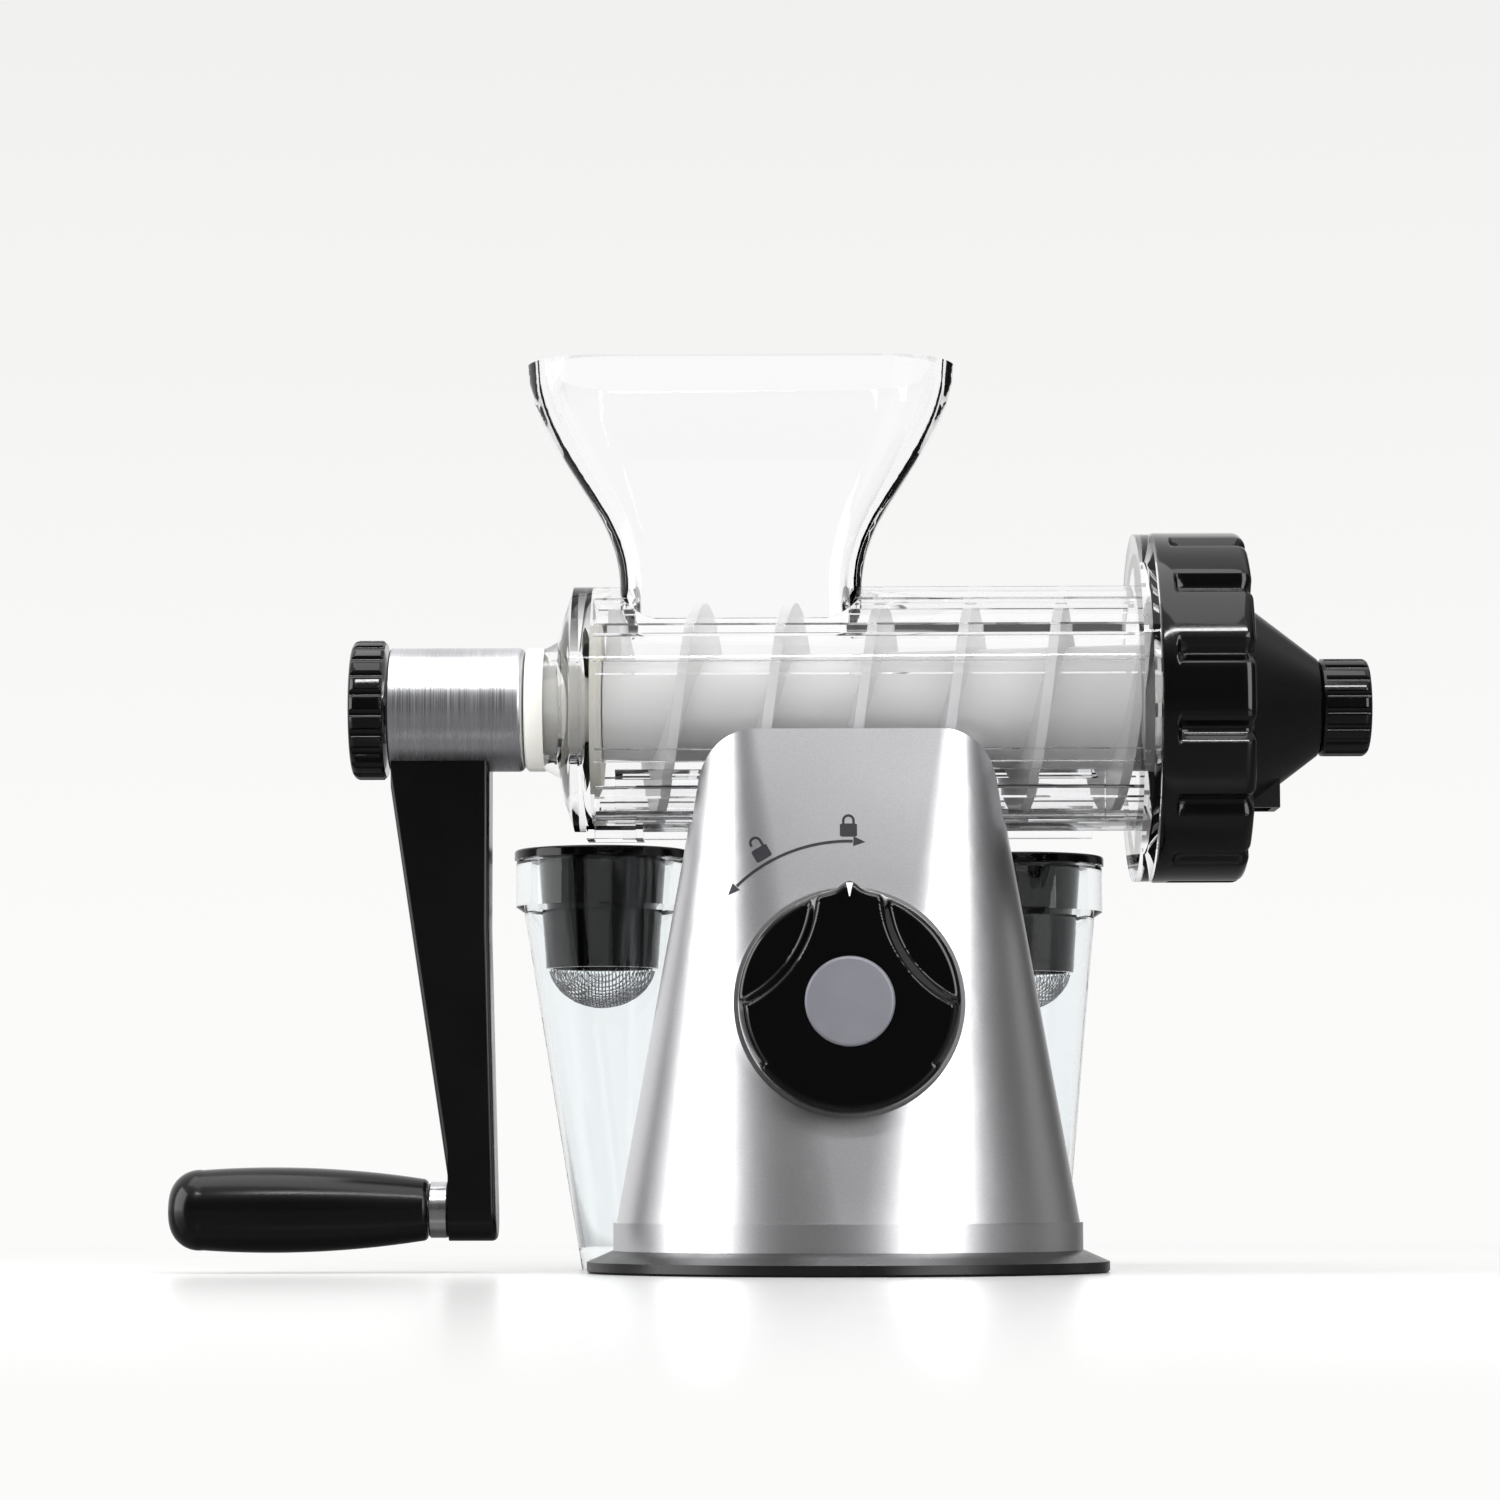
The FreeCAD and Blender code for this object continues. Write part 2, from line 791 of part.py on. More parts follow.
def barrel_skin():
    """Outside of the barrel, from the rear collar to the threaded neck."""
    body = on_axis("barrel_skin")
    back = size("barrel_back")
    shoulder = back - size("rear_dome")
    step = shoulder - size("rear_step")
    profile = outline(body, "skin", "XZ", [
        (step - size("collar_length"), 0),
        (step - size("collar_length"), size("collar_radius")),
        (step, size("collar_radius") + 2),
        (shoulder, size("rear_shoulder")),
        (back, size("barrel_radius")),
        (size("barrel_front"), size("barrel_radius")),
        (size("barrel_front"), size("flange_radius")),
        (bore_front(), size("flange_radius")),
        (bore_front(), size("neck_radius")),
        (neck_front(), size("neck_radius")),
        (neck_front(), 0),
    ])
    turn(body, profile, "H")
    return body


def bush_radius_rear():
    return size("journal_radius") + 4


def barrel_hollow():
    """Inside of the barrel: bush hole, bore and the wider neck."""
    body = on_axis("barrel_hollow")
    inner_back = size("barrel_back") + size("rear_wall")
    hole = bush_radius_rear()
    profile = outline(body, "hollow", "XZ", [
        (size("barrel_back") - 20, 0),
        (size("barrel_back") - 20, hole),
        (inner_back - 1.5, hole),
        (inner_back, size("rear_shoulder") - 2),
        (inner_back + 2, size("bore_radius")),
        (bore_front() - 1, size("bore_radius")),
        (bore_front() + 2, size("neck_bore")),
        (neck_front() + 1, size("neck_bore")),
        (neck_front() + 1, 0),
    ])
    turn(body, profile, "H")
    return body


def smooth(share):
    """S-curve from 0 to 1."""
    return share * share * (3 - 2 * share)


def rounded_plan(middle, height, half_long, half_deep, corner):
    """A level rounded rectangle, as one wire."""
    flat_long, flat_deep = half_long - corner, half_deep - corner
    edges = []
    slant = corner * math.sqrt(0.5)
    for quarter, (x_way, y_way) in enumerate(((1, 1), (-1, 1), (-1, -1), (1, -1))):
        hub = Vector(middle + flat_long * x_way, flat_deep * y_way, height)
        along_x = hub + Vector(corner * x_way, 0, 0)
        along_y = hub + Vector(0, corner * y_way, 0)
        mid = hub + Vector(slant * x_way, slant * y_way, 0)
        first, last = (along_x, along_y) if quarter % 2 == 0 else (along_y, along_x)
        edges.append(Part.Arc(first, mid, last).toShape())
        if quarter % 2 == 0:
            edges.append(Part.LineSegment(along_y, along_y - Vector(2 * flat_long * x_way, 0, 0)).toShape())
        else:
            edges.append(Part.LineSegment(along_x, along_x - Vector(0, 2 * flat_deep * y_way, 0)).toShape())
    return Part.Wire(edges)


def hopper_loft(name, inset_neck, inset_rim, low, high):
    """A flaring funnel; the insets draw it in from the outside form at neck and rim."""
    neck, top = size("hopper_neck_height").number, size("hopper_top").number
    neck_long, rim_long = size("hopper_neck_length").number, size("hopper_rim_length").number
    neck_deep, rim_deep = size("hopper_neck_depth").number, size("hopper_rim_depth").number
    neck_corner = size("hopper_neck_corner").number
    rim_corner = size("hopper_rim_corner").number
    middle = size("hopper_middle").number
    plans = []
    for share in (-0.3, 0, 0.2, 0.4, 0.6, 0.8, 1.0):
        height = neck + (top - neck) * share
        if share < 0:
            height = low
        if share == 1.0:
            height = high
        flare = smooth(max(share, 0))
        depth = max(share, 0) ** 3
        inset = inset_neck + (inset_rim - inset_neck) * max(share, 0)
        plans.append(rounded_plan(
            middle,
            height,
            neck_long + (rim_long - neck_long) * flare - inset,
            neck_deep + (rim_deep - neck_deep) * depth - inset_neck,
            neck_corner + (rim_corner - neck_corner) * flare - inset_neck,
        ))
    feature = doc.addObject("Part::Feature", name)
    feature.Shape = Part.makeLoft(plans, True, False)
    return feature


def block(name, x, y, z):
    """A box between (low, high) pairs."""
    box = doc.addObject("Part::Box", name)
    for prop, letter, (low, high) in (("Length", "x", x), ("Width", "y", y), ("Height", "z", z)):
        low, high = as_size(low), as_size(high)
        box.setExpression(prop, (high - low).text)
        box.setExpression(f"Placement.Base.{letter}", low.text)
    return box


def barrel_ribs():
    """Grinding ribs along the bore, sunk a little into its wall."""
    inner = size("bore_radius").number - size("rib_rise").number
    outer = size("barrel_radius").number - 0.8
    width = size("rib_width").number
    low = size("barrel_back").number + size("rear_wall").number + 3
    length = bore_front().number - 2 - low
    count = round(size("rib_count").number)
    height = size("axis_height").number
    ribs = []
    for step in range(count):
        rib = Part.makeBox(length, outer - inner, width, Vector(low, inner, -width / 2))
        rib.rotate(Vector(0, 0, 0), Vector(1, 0, 0), size("rib_phase").number + 360 / count * step)
        rib.translate(Vector(0, 0, height))
        ribs.append(rib)
    feature = doc.addObject("Part::Feature", "barrel_ribs")
    feature.Shape = Part.makeCompound(ribs)
    return feature


def boolean(kind, name, **parts):
    feature = doc.addObject(kind, name)
    for key, value in parts.items():
        setattr(feature, key, value)
    doc.recompute()
    return feature


def barrel_body():
    axis = size("axis_height")
    skin = barrel_skin()
    hollow = barrel_hollow()
    wall, lip = size("hopper_wall").number, size("hopper_lip").number
    inside_low = axis.number + 8
    funnel = hopper_loft("funnel", 0, 0, axis.number + 12, size("hopper_top").number)
    funnel_inside = hopper_loft("funnel_inside", wall, lip, inside_low, size("hopper_top").number + 0.01)
    rails = []
    for name, way in (("rail_front", -1), ("rail_back", 1)):
        outer, inner = size("rail_spread"), size("rail_spread") - size("rail_width")
        pair = (-outer, -inner) if way < 0 else (inner, outer)
        low = axis - size("barrel_radius")
        rails.append(block(name, (size("rail_left"), size("rail_right")), pair, (low, low + size("rail_rise"))))
    left = size("spout_left")
    right = left + size("spout_length")
    half = size("spout_width") / 2
    wall_spout = size("spout_wall")
    spout_low = axis - size("spout_drop")
    spout = block("spout", (left, right), (-half, half), (spout_low, axis - size("bore_radius") + 3))
    passage = block(
        "spout_passage", (left + wall_spout, right - wall_spout),
        (-half + wall_spout, half - wall_spout), (spout_low - 1, axis - size("bore_radius") + 6),
    )
    long_half, wide_half = size("tongue_length") / 2, size("tongue_width") / 2
    tongue_low = axis - size("barrel_radius") - size("tongue_depth")
    tongue = block(
        "tongue", (-long_half, long_half), (-wide_half, wide_half),
        (tongue_low, axis - size("barrel_radius") + 1.5),
    )
    outside = boolean(
        "Part::MultiFuse", "barrel_outside", Shapes=[skin, funnel, spout, tongue, *rails]
    )
    bored = boolean("Part::Cut", "barrel_bored", Base=outside, Tool=hollow)
    ribbed = boolean("Part::MultiFuse", "barrel_ribbed", Shapes=[bored, barrel_ribs()])
    openings = boolean("Part::MultiFuse", "barrel_openings", Shapes=[funnel_inside, passage])
    finished = boolean("Part::Cut", "barrel_body", Base=ribbed, Tool=openings)
    finished.Label = "barrel_body"
    return finished


def rear_bush():
    """Cream bush in the rear collar; its flange stands between barrel and hub."""
    body = on_axis("rear_bush")
    collar_end = size("barrel_back") - size("rear_dome") - size("rear_step") - size("collar_length")
    front = size("barrel_back") + size("rear_wall") - 1.5
    bore = size("journal_radius") + size("running_fit")
    outer = bush_radius_rear() - size("running_fit")
    rim = size("hub_radius")
    left = size("hub_right") + size("side_gap")
    profile = outline(body, "bush", "XZ", [
        (left, bore),
        (left, rim - 0.8),
        (left + 0.8, rim),
        (collar_end, rim),
        (collar_end, outer),
        (front, outer),
        (front, bore),
    ])
    turn(body, profile, "H")
    return body


def shaft_seal():
    """Silicone washer between the rear wall and the auger's shoulder."""
    body = on_axis("shaft_seal")
    left = size("barrel_back") + size("rear_wall")
    right = size("flight_start") - size("flight_root") / 2 - size("side_gap")
    bore = size("journal_radius") + size("side_gap")
    outer = size("rear_shoulder") - 3
    profile = outline(body, "seal", "XZ", [
        (left, bore),
        (left, outer),
        (right - 1, outer),
        (right, outer - 1),
        (right, bore),
    ])
    turn(body, profile, "H")
    return body


# Auger and crank


def auger():
    body = on_axis("auger")
    back = size("hub_right") + size("side_gap")
    shoulder = size("flight_start") - size("flight_root") / 2
    profile = outline(body, "core", "XZ", [
        (back, 0),
        (back, size("journal_radius")),
        (shoulder, size("journal_radius")),
        (shoulder, size("core_back")),
        (size("flight_end"), size("core_front")),
        (size("flight_end") + 4, size("core_front")),
        (size("nose_end"), size("nose_radius")),
        (size("nose_end"), 0),
    ])
    turn(body, profile, "H")
    start = size("flight_start")
    root_half, tip_half = size("flight_root") / 2, size("flight_tip") / 2
    sunk = size("core_back") - 3
    tooth = outline(body, "flight", "XZ", [
        (start - root_half, sunk),
        (start + root_half, sunk),
        (start + tip_half, size("flight_radius")),
        (start - tip_half, size("flight_radius")),
    ])
    helix = body.newObject("PartDesign::AdditiveHelix", "helix")
    helix.Profile = tooth
    helix.ReferenceAxis = (tooth, ["H_Axis"])
    helix.Mode = "pitch-height-angle"
    helix.setExpression("Pitch", size("flight_pitch").text)
    helix.setExpression("Height", (size("flight_end") - start).text)
    helix.LeftHanded = True
    doc.recompute()
    half = size("square_side") / 2
    socket = outline(body, "socket", "YZ", rectangle(-half, -half, half, half), offset=back)
    extrude(body, socket, shaft_front_end() - back, cut=True)
    return body


def shaft_front_end():
    return size("flight_start") + 20


def auger_shaft():
    body = on_axis("auger_shaft")
    half = size("square_side") / 2
    left = size("hub_left") + 2
    bar = outline(body, "bar", "YZ", rectangle(-half, -half, half, half), offset=left)
    extrude(body, bar, shaft_front_end() - left)
    stud_end = size("knob_ring_left") + 2
    stud = circle(body, "stud", "YZ", 0, 0, size("stud_radius"), offset=stud_end)
    extrude(body, stud, left - stud_end)
    return body


def crank_hub():
    body = on_axis("crank_hub")
    left, right, radius, edge = size("hub_left"), size("hub_right"), size("hub_radius"), size("hub_round")
    profile = outline(body, "hub", "XZ", [
        (left, 0),
        (left, radius - 0.5),
        (left + 0.5, radius),
        (right - edge, radius, -edge),
        (right, radius - edge),
        (right, 0),
    ])
    turn(body, profile, "H")
    middle = (size("arm_top_left") + size("arm_top_right")) / 2
    half_long, half_wide = size("tenon_length") / 2, size("tenon_width") / 2
    tenon = outline(body, "tenon", "XY", rectangle(
        middle - half_long, -half_wide, middle + half_long, half_wide
    ), offset=-radius - size("tenon_depth"))
    extrude(body, tenon, size("tenon_depth") + 3)
    half = size("square_side") / 2
    square = outline(body, "square", "YZ", rectangle(-half, -half, half, half), offset=left)
    extrude(body, square, right - left, cut=True)
    return body


def crank_arm():
    body = on_axis("crank_arm")
    top = -size("hub_radius") + 3
    low = -size("crank_radius") - size("arm_depth")
    left, right = size("arm_top_left"), size("arm_top_right")
    depth = size("arm_depth")
    blade = outline(body, "blade", "XZ", [
        (left, top),
        (left, top - 8),
        (size("arm_low_left"), low + depth * 2),
        (size("arm_low_left"), low),
        (size("arm_low_right"), low),
        (right, top - 45),
        (right, top),
    ])
    pad = extrude(body, blade, depth * 2, middle=True)
    low_number, depth_number = low.number, depth.number

    def is_toe(edge):
        box = edge.BoundBox
        level = box.ZLength < 0.01 and near(box.ZMin, low_number)
        return level and near(abs(box.YMin), depth_number) and box.YLength < 0.01

    toe = fillet(body, pad, depth - 0.1, is_toe)

    def is_long(edge):
        box = edge.BoundBox
        return near(abs(box.YMin), depth_number) and box.YLength < 0.01 and box.ZLength > 20

    fillet(body, toe, size("arm_round"), is_long)
    saddle = circle(body, "saddle", "YZ", 0, 0, size("hub_radius"), offset=left - 5)
    extrude(body, saddle, right - left + 10, cut=True)
    middle = (left + right) / 2
    half_long, half_wide = size("tenon_length") / 2, size("tenon_width") / 2
    mortise = outline(body, "mortise", "XY", rectangle(
        middle - half_long, -half_wide, middle + half_long, half_wide
    ), offset=-size("hub_radius") - size("tenon_depth"))
    extrude(body, mortise, size("tenon_depth") + 4, cut=True)
    hole = circle(
        body, "axle_hole", "YZ", 0, -size("crank_radius"), size("axle_radius"),
        offset=size("arm_low_left") - 1,
    )
    extrude(body, hole, axle_right() - size("arm_low_left") + 1, cut=True)
    return body


def axle_right():
    return size("arm_low_right") - 3


def grip_axis():
    return size("axis_height") - size("crank_radius")


def grip_right():
    return size("arm_low_left") - size("ferrule_length") - size("side_gap")


def grip_axle():
    body = on_axis("grip_axle", grip_axis())
    radius, neck = size("axle_radius"), size("axle_radius") - 0.8
    left = size("grip_left") + 5
    groove = left + 2
    profile = outline(body, "axle", "XZ", [
        (left, 0),
        (left, radius),
        (groove, radius),
        (groove, neck),
        (groove + size("clip_thickness"), neck),
        (groove + size("clip_thickness"), radius),
        (axle_right(), radius),
        (axle_right(), 0),
    ])
    turn(body, profile, "H")
    return body


def grip_ferrule():
    body = on_axis("grip_ferrule", grip_axis())
    right = size("arm_low_left")
    left = right - size("ferrule_length")
    radius = size("ferrule_radius")
    profile = outline(body, "ferrule", "XZ", [
        (left, size("axle_radius")),
        (left, radius - 0.4),
        (left + 0.4, radius),
        (right - 0.6, radius),
        (right, radius - 0.6),
        (right, size("axle_radius")),
    ])
    turn(body, profile, "H")
    return body


def handle_grip():
    """A turned grip, thicker to the free end, with a pocket for the clip."""
    body = on_axis("handle_grip", grip_axis())
    left, right = size("grip_left"), grip_right()
    thick, thin = size("grip_thick"), size("grip_thin")
    bore = size("axle_radius") + size("running_fit")
    pocket_radius = size("axle_radius") + 3
    pocket_left, pocket_right = left + 4, left + 12
    profile = outline(body, "grip", "XZ", [
        (left, 0),
        (left, 3, -8),
        (left + 9, thick, -260),
        (right - 1.5, thin, -1.5),
        (right, thin - 1.5),
        (right, bore),
        (pocket_right, bore),
        (pocket_right, pocket_radius),
        (pocket_left, pocket_radius),
        (pocket_left, 0),
    ])
    turn(body, profile, "H")
    return body


def retaining_knob():
    body = on_axis("retaining_knob")
    left = size("knob_ring_left")
    right = size("hub_left") - size("washer_thickness") - size("side_gap")
    radius, edge = size("knob_ring_radius"), size("hub_round") + 0.6
    bore = size("stud_radius") + size("running_fit")
    profile = outline(body, "knob", "XZ", [
        (left, 0),
        (left, radius - edge, -edge),
        (left + edge, radius),
        (right - 0.8, radius),
        (right, radius - 0.8),
        (right, bore),
        (left + 1.5, bore),
        (left + 1.5, 0),
    ])
    turn(body, profile, "H")
    notch = circle(body, "notch", "YZ", 0, radius + 0.7, 1.6, offset=left)
    cut = extrude(body, notch, right - left, cut=True)
    pattern_round(body, cut, notch, "N_Axis", size("knob_ring_lobes"))
    return body


# Cone end


def cap_back():
    """Where the cone's flange starts, just clear of the gasket."""
    return neck_front() + size("gasket_thickness") + size("side_gap") / 3


def ring_nut():
    body = on_axis("ring_nut")
    back = bore_front() + size("side_gap") / 3
    front, radius, edge = size("ring_front"), size("ring_radius"), size("ring_round")
    inner = size("neck_radius") + size("side_gap")
    lip = cap_back() + size("cap_flange") + size("side_gap") / 3
    mouth = size("cone_base") + size("side_gap")
    profile = outline(body, "ring", "XZ", [
        (back, inner),
        (lip, inner),
        (lip, mouth),
        (front, mouth),
        (front, radius - edge, edge),
        (front - edge, radius),
        (back, radius),
    ])
    turn(body, profile, "H")
    cutter = size("lobe_cutter")
    groove = circle(
        body, "groove", "YZ", 0, radius + cutter - size("lobe_depth"), cutter,
        offset=back + size("ring_skirt"),
    )
    cut = extrude(body, groove, front - back, cut=True)
    pattern_round(body, cut, groove, "N_Axis", size("ring_lobes"))
    return body


def end_cap():
    """Cone with a flange under the ring nut, a spigot in the neck and a pulp chute below."""
    body = on_axis("end_cap")
    back = cap_back()
    front = back + size("cap_flange")
    spigot = size("neck_bore") - size("side_gap")
    wall = size("cone_wall")
    base, tip = size("cone_base"), size("cone_tip_radius")
    start, end = size("cone_start"), size("cone_tip")
    floor = end - wall * 1.6
    profile = outline(body, "cone", "XZ", [
        (back - 6, spigot - wall),
        (back - 6, spigot),
        (back, spigot),
        (back, size("neck_radius") - 0.2),
        (front, size("neck_radius") - 0.2),
        (front, base),
        (start, base),
        (end, tip),
        (end, size("screw_stem") + size("running_fit")),
        (floor, size("screw_stem") + size("running_fit")),
        (floor, tip - wall + 1),
        (start - 1, base - wall),
        (back + 1, base - wall),
    ])
    turn(body, profile, "H")
    left = size("cone_start") + size("side_gap")
    right = left + size("chute_length")
    half, drop = size("chute_width") / 2, size("chute_drop")
    chute = outline(body, "chute", "XY", rectangle(left, -half, right, half), offset=-drop)
    extrude(body, chute, drop - size("cone_tip_radius") - 1)
    hole = outline(body, "chute_hole", "XY", rectangle(
        left + 2, -half + 2, right - 2, half - 2
    ), offset=-drop - 1)
    extrude(body, hole, drop + 1 - size("plug_radius"), cut=True)
    return body


def front_gasket():
    return ring_on_shaft(
        "front_gasket", "XZ", neck_front(), size("gasket_thickness"), size("neck_bore"),
        size("neck_radius") - 0.2, size("axis_height"),
    )


def adjusting_knob():
    body = on_axis("adjusting_knob")
    left = size("cone_tip") + size("side_gap")
    right, radius = size("tip_end"), size("tip_radius")
    profile = outline(body, "knob", "XZ", [
        (left, size("screw_stem")),
        (left, radius - 0.8),
        (left + 0.8, radius),
        (right - 2, radius, -2),
        (right, radius - 2),
        (right, 0),
        (right - 3, 0),
        (right - 3, size("screw_stem")),
    ])
    turn(body, profile, "H")
    flute = circle(body, "flute", "YZ", 0, radius + 0.3, 1.2, offset=left + 1.4)
    cut = extrude(body, flute, right - left, cut=True)
    pattern_round(body, cut, flute, "N_Axis", size("tip_flutes"))
    return body


def adjusting_screw():
    body = on_axis("adjusting_screw")
    left = plug_left() + 2
    profile = outline(body, "screw", "XZ", rectangle(left, 0, size("tip_end") - 3, size("screw_stem")))
    turn(body, profile, "H")
    return body


def plug_left():
    return size("cone_start") + 2


def pressure_plug():
    """Tapered plug that rides on the end of the adjusting screw."""
    body = on_axis("pressure_plug")
    left = plug_left()
    right = left + size("plug_length")
    bore = size("screw_stem") + size("running_fit")
    profile = outline(body, "plug", "XZ", [
        (left, 0),
        (left, size("plug_radius")),
        (left + 1.5, size("plug_radius")),
        (right, size("plug_radius") - 4),
        (right, bore),
        (left + 1.7, bore),
        (left + 1.7, 0),
    ])
    turn(body, profile, "H")
    return body


# Cups, strainers and their mesh


def cup(name, across, away, lean_across, lean_away):
    """A clear cup whose foot stands off its mouth's centre, with a wider collar at the top."""
    body = new_body(name, x=across, y=away)
    wall = size("cup_wall")
    shoulder = size("cup_top") - size("cup_collar")
    foot = circle(body, "foot", "XY", lean_across, lean_away, size("cup_foot_radius"))
    mouth = circle(body, "shoulder", "XY", 0, 0, size("cup_shoulder_radius"), offset=shoulder)
    side = body.newObject("PartDesign::AdditiveLoft", "side")
    side.Profile = foot
    side.Sections = [mouth]
    doc.recompute()
    collar = outline(body, "collar", "XZ", [
        (0, shoulder),
        (size("cup_shoulder_radius"), shoulder),
        (size("cup_collar_radius"), shoulder + 1.5),
        (size("cup_collar_radius"), size("cup_top") - 0.5),
        (size("cup_collar_radius") - 0.5, size("cup_top")),
        (0, size("cup_top")),
    ])
    turn(body, collar, "V")
    share = size("cup_floor") / shoulder
    inner_foot = circle(
        body, "inner_foot", "XY", as_size(lean_across) * (1 - share), as_size(lean_away) * (1 - share),
        size("cup_foot_radius") + (size("cup_shoulder_radius") - size("cup_foot_radius")) * share - wall,
        offset=size("cup_floor"),
    )
    inner_mouth = circle(
        body, "inner_shoulder", "XY", 0, 0, size("cup_shoulder_radius") - wall, offset=shoulder
    )
    inside = body.newObject("PartDesign::SubtractiveLoft", "inside")
    inside.Profile = inner_foot
    inside.Sections = [inner_mouth]
    doc.recompute()
    throat = circle(body, "throat", "XY", 0, 0, size("cup_shoulder_radius") - wall, offset=shoulder)
    extrude(body, throat, size("cup_collar") + 1, cut=True)
    recess = circle(body, "recess", "XY", lean_across, lean_away, size("cup_foot_radius") - wall)
    extrude(body, recess, size("cup_recess"), cut=True)
    return body


def strainer(name, across, away):
    body = new_body(name, x=across, y=away)
    low = size("cup_top") + size("side_gap")
    top = low + size("strainer_flange_height")
    wall = size("strainer_wall")
    bottom = size("cup_top") - size("strainer_drop")
    upper, lower = size("strainer_top_radius"), size("strainer_low_radius")
    flange = size("strainer_flange")
    profile = outline(body, "ring", "XZ", [
        (lower, bottom),
        (upper, low - 2),
        (upper, low),
        (flange, low),
        (flange, top - 0.8, 0.8),
        (flange - 0.8, top),
        (upper, top),
        (upper - wall, top - 1),
        (lower - wall, bottom),
    ])
    turn(body, profile, "V")
    return body


def mesh_dome(name, across, away):
    """A sagging dome of mesh, hemmed against the strainer's lower edge."""
    body = new_body(name, x=across, y=away)
    bottom = size("cup_top") - size("strainer_drop")
    gauge, sag = size("mesh_gauge"), size("mesh_sag")
    rim = size("strainer_low_radius") - size("strainer_wall") / 2
    reach = rim * rim
    ball = (reach + sag * sag) / (sag * 2)
    inner_rim = rim - gauge
    inner_sag = sag - gauge
    inner_ball = (inner_rim * inner_rim + inner_sag * inner_sag) / (inner_sag * 2)
    profile = outline(body, "dome", "XZ", [
        (0, bottom - sag, ball),
        (rim, bottom),
        (inner_rim, bottom, -inner_ball),
        (0, bottom - inner_sag),
    ])
    turn(body, profile, "V")
    return body


def build():
    lean = size("cup_lean")
    left_spot = (size("left_cup_across"), size("left_cup_away"))
    right_spot = (size("right_cup_across"), size("right_cup_away"))
    shaft_height = size("knob_height")
    return [
        base_housing(),
        base_plate(),
        base_screws(),
        suction_foot(),
        lifter_rod(),
        cam_shaft(),
        shaft_bush(),
        ring_on_shaft(
            "shaft_clip", "YZ", size("post_back") + size("post_thickness") + size("side_gap"),
            size("clip_thickness"), size("shaft_radius"), size("shaft_radius") + 3, shaft_height,
        ),
        suction_knob(),
        knob_cap(),
        knob_screw(),
        barrel_body(),
        rear_bush(),
        shaft_seal(),
        front_gasket(),
        auger(),
        auger_shaft(),
        crank_hub(),
        crank_arm(),
        retaining_knob(),
        ring_on_shaft(
            "knob_washer", "XZ", size("hub_left") - size("washer_thickness"), size("washer_thickness"),
            size("stud_radius") + size("side_gap"), size("washer_radius"), size("axis_height"),
        ),
        grip_axle(),
        grip_ferrule(),
        ring_on_shaft(
            "grip_clip", "XZ", size("grip_left") + 7, size("clip_thickness"),
            size("axle_radius") - 0.8, size("axle_radius") + 1.5, grip_axis(),
        ),
        handle_grip(),
        end_cap(),
        ring_nut(),
        adjusting_knob(),
        adjusting_screw(),
        pressure_plug(),
        cup("cup_left", *left_spot, lean, 0),
        strainer("strainer_left", *left_spot),
        mesh_dome("mesh_left", *left_spot),
        cup("cup_right", *right_spot, 0, lean),
        strainer("strainer_right", *right_spot),
        mesh_dome("mesh_right", *right_spot),
    ]


parts = build()
doc.recompute()
for item in doc.Objects:
    if "Invalid" in item.State or "Error" in item.State:
        raise RuntimeError(f"{item.Name} failed: {item.State}")
for part in parts:
    if part.Shape.isNull() or not part.Shape.isValid():
        raise RuntimeError(f"{part.Label} has no valid shape")

os.makedirs("parts", exist_ok=True)
for part in parts:
    part.Shape.exportStep(f"parts/{part.Label}.step")
    print(part.Label, "solids", len(part.Shape.Solids), "volume", round(part.Shape.Volume))
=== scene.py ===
import math

import bpy
from mathutils import Euler, Matrix, Vector
from mathutils.bvhtree import BVHTree

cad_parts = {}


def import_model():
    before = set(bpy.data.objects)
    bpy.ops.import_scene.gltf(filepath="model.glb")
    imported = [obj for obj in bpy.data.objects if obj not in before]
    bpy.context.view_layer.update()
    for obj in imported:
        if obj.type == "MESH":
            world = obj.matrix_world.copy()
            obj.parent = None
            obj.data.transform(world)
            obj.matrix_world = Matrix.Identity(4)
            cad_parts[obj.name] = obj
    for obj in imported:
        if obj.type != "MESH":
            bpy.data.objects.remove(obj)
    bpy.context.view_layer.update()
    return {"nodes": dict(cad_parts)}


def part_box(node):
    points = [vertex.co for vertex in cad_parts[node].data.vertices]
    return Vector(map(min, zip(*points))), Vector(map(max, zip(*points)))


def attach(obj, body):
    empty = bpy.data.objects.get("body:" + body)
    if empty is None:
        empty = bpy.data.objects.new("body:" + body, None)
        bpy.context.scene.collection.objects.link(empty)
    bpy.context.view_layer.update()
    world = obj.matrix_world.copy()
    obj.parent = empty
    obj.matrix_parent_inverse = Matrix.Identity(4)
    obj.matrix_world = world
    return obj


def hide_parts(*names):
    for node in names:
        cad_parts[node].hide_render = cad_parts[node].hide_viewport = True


# Hand-cranked juicer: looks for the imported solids, in metres, in the part's own frame.

MM = 0.001

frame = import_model()
cad = frame["nodes"]


# Node helpers

def add(tree, kind, inputs=None, **settings):
    """A shader node; an input, by name or number, is either a value or another node's output."""
    made = tree.nodes.new(kind)
    for name, value in settings.items():
        setattr(made, name, value)
    for name, value in (inputs or {}).items():
        if isinstance(value, bpy.types.NodeSocket):
            tree.links.new(value, made.inputs[name])
        else:
            made.inputs[name].default_value = value
    return made


def colour(r, g=None, b=None):
    return (r, r if g is None else g, r if b is None else b, 1.0)


def shade(base, factor):
    return tuple(min(1.0, part * factor) for part in base[:3]) + (1.0,)


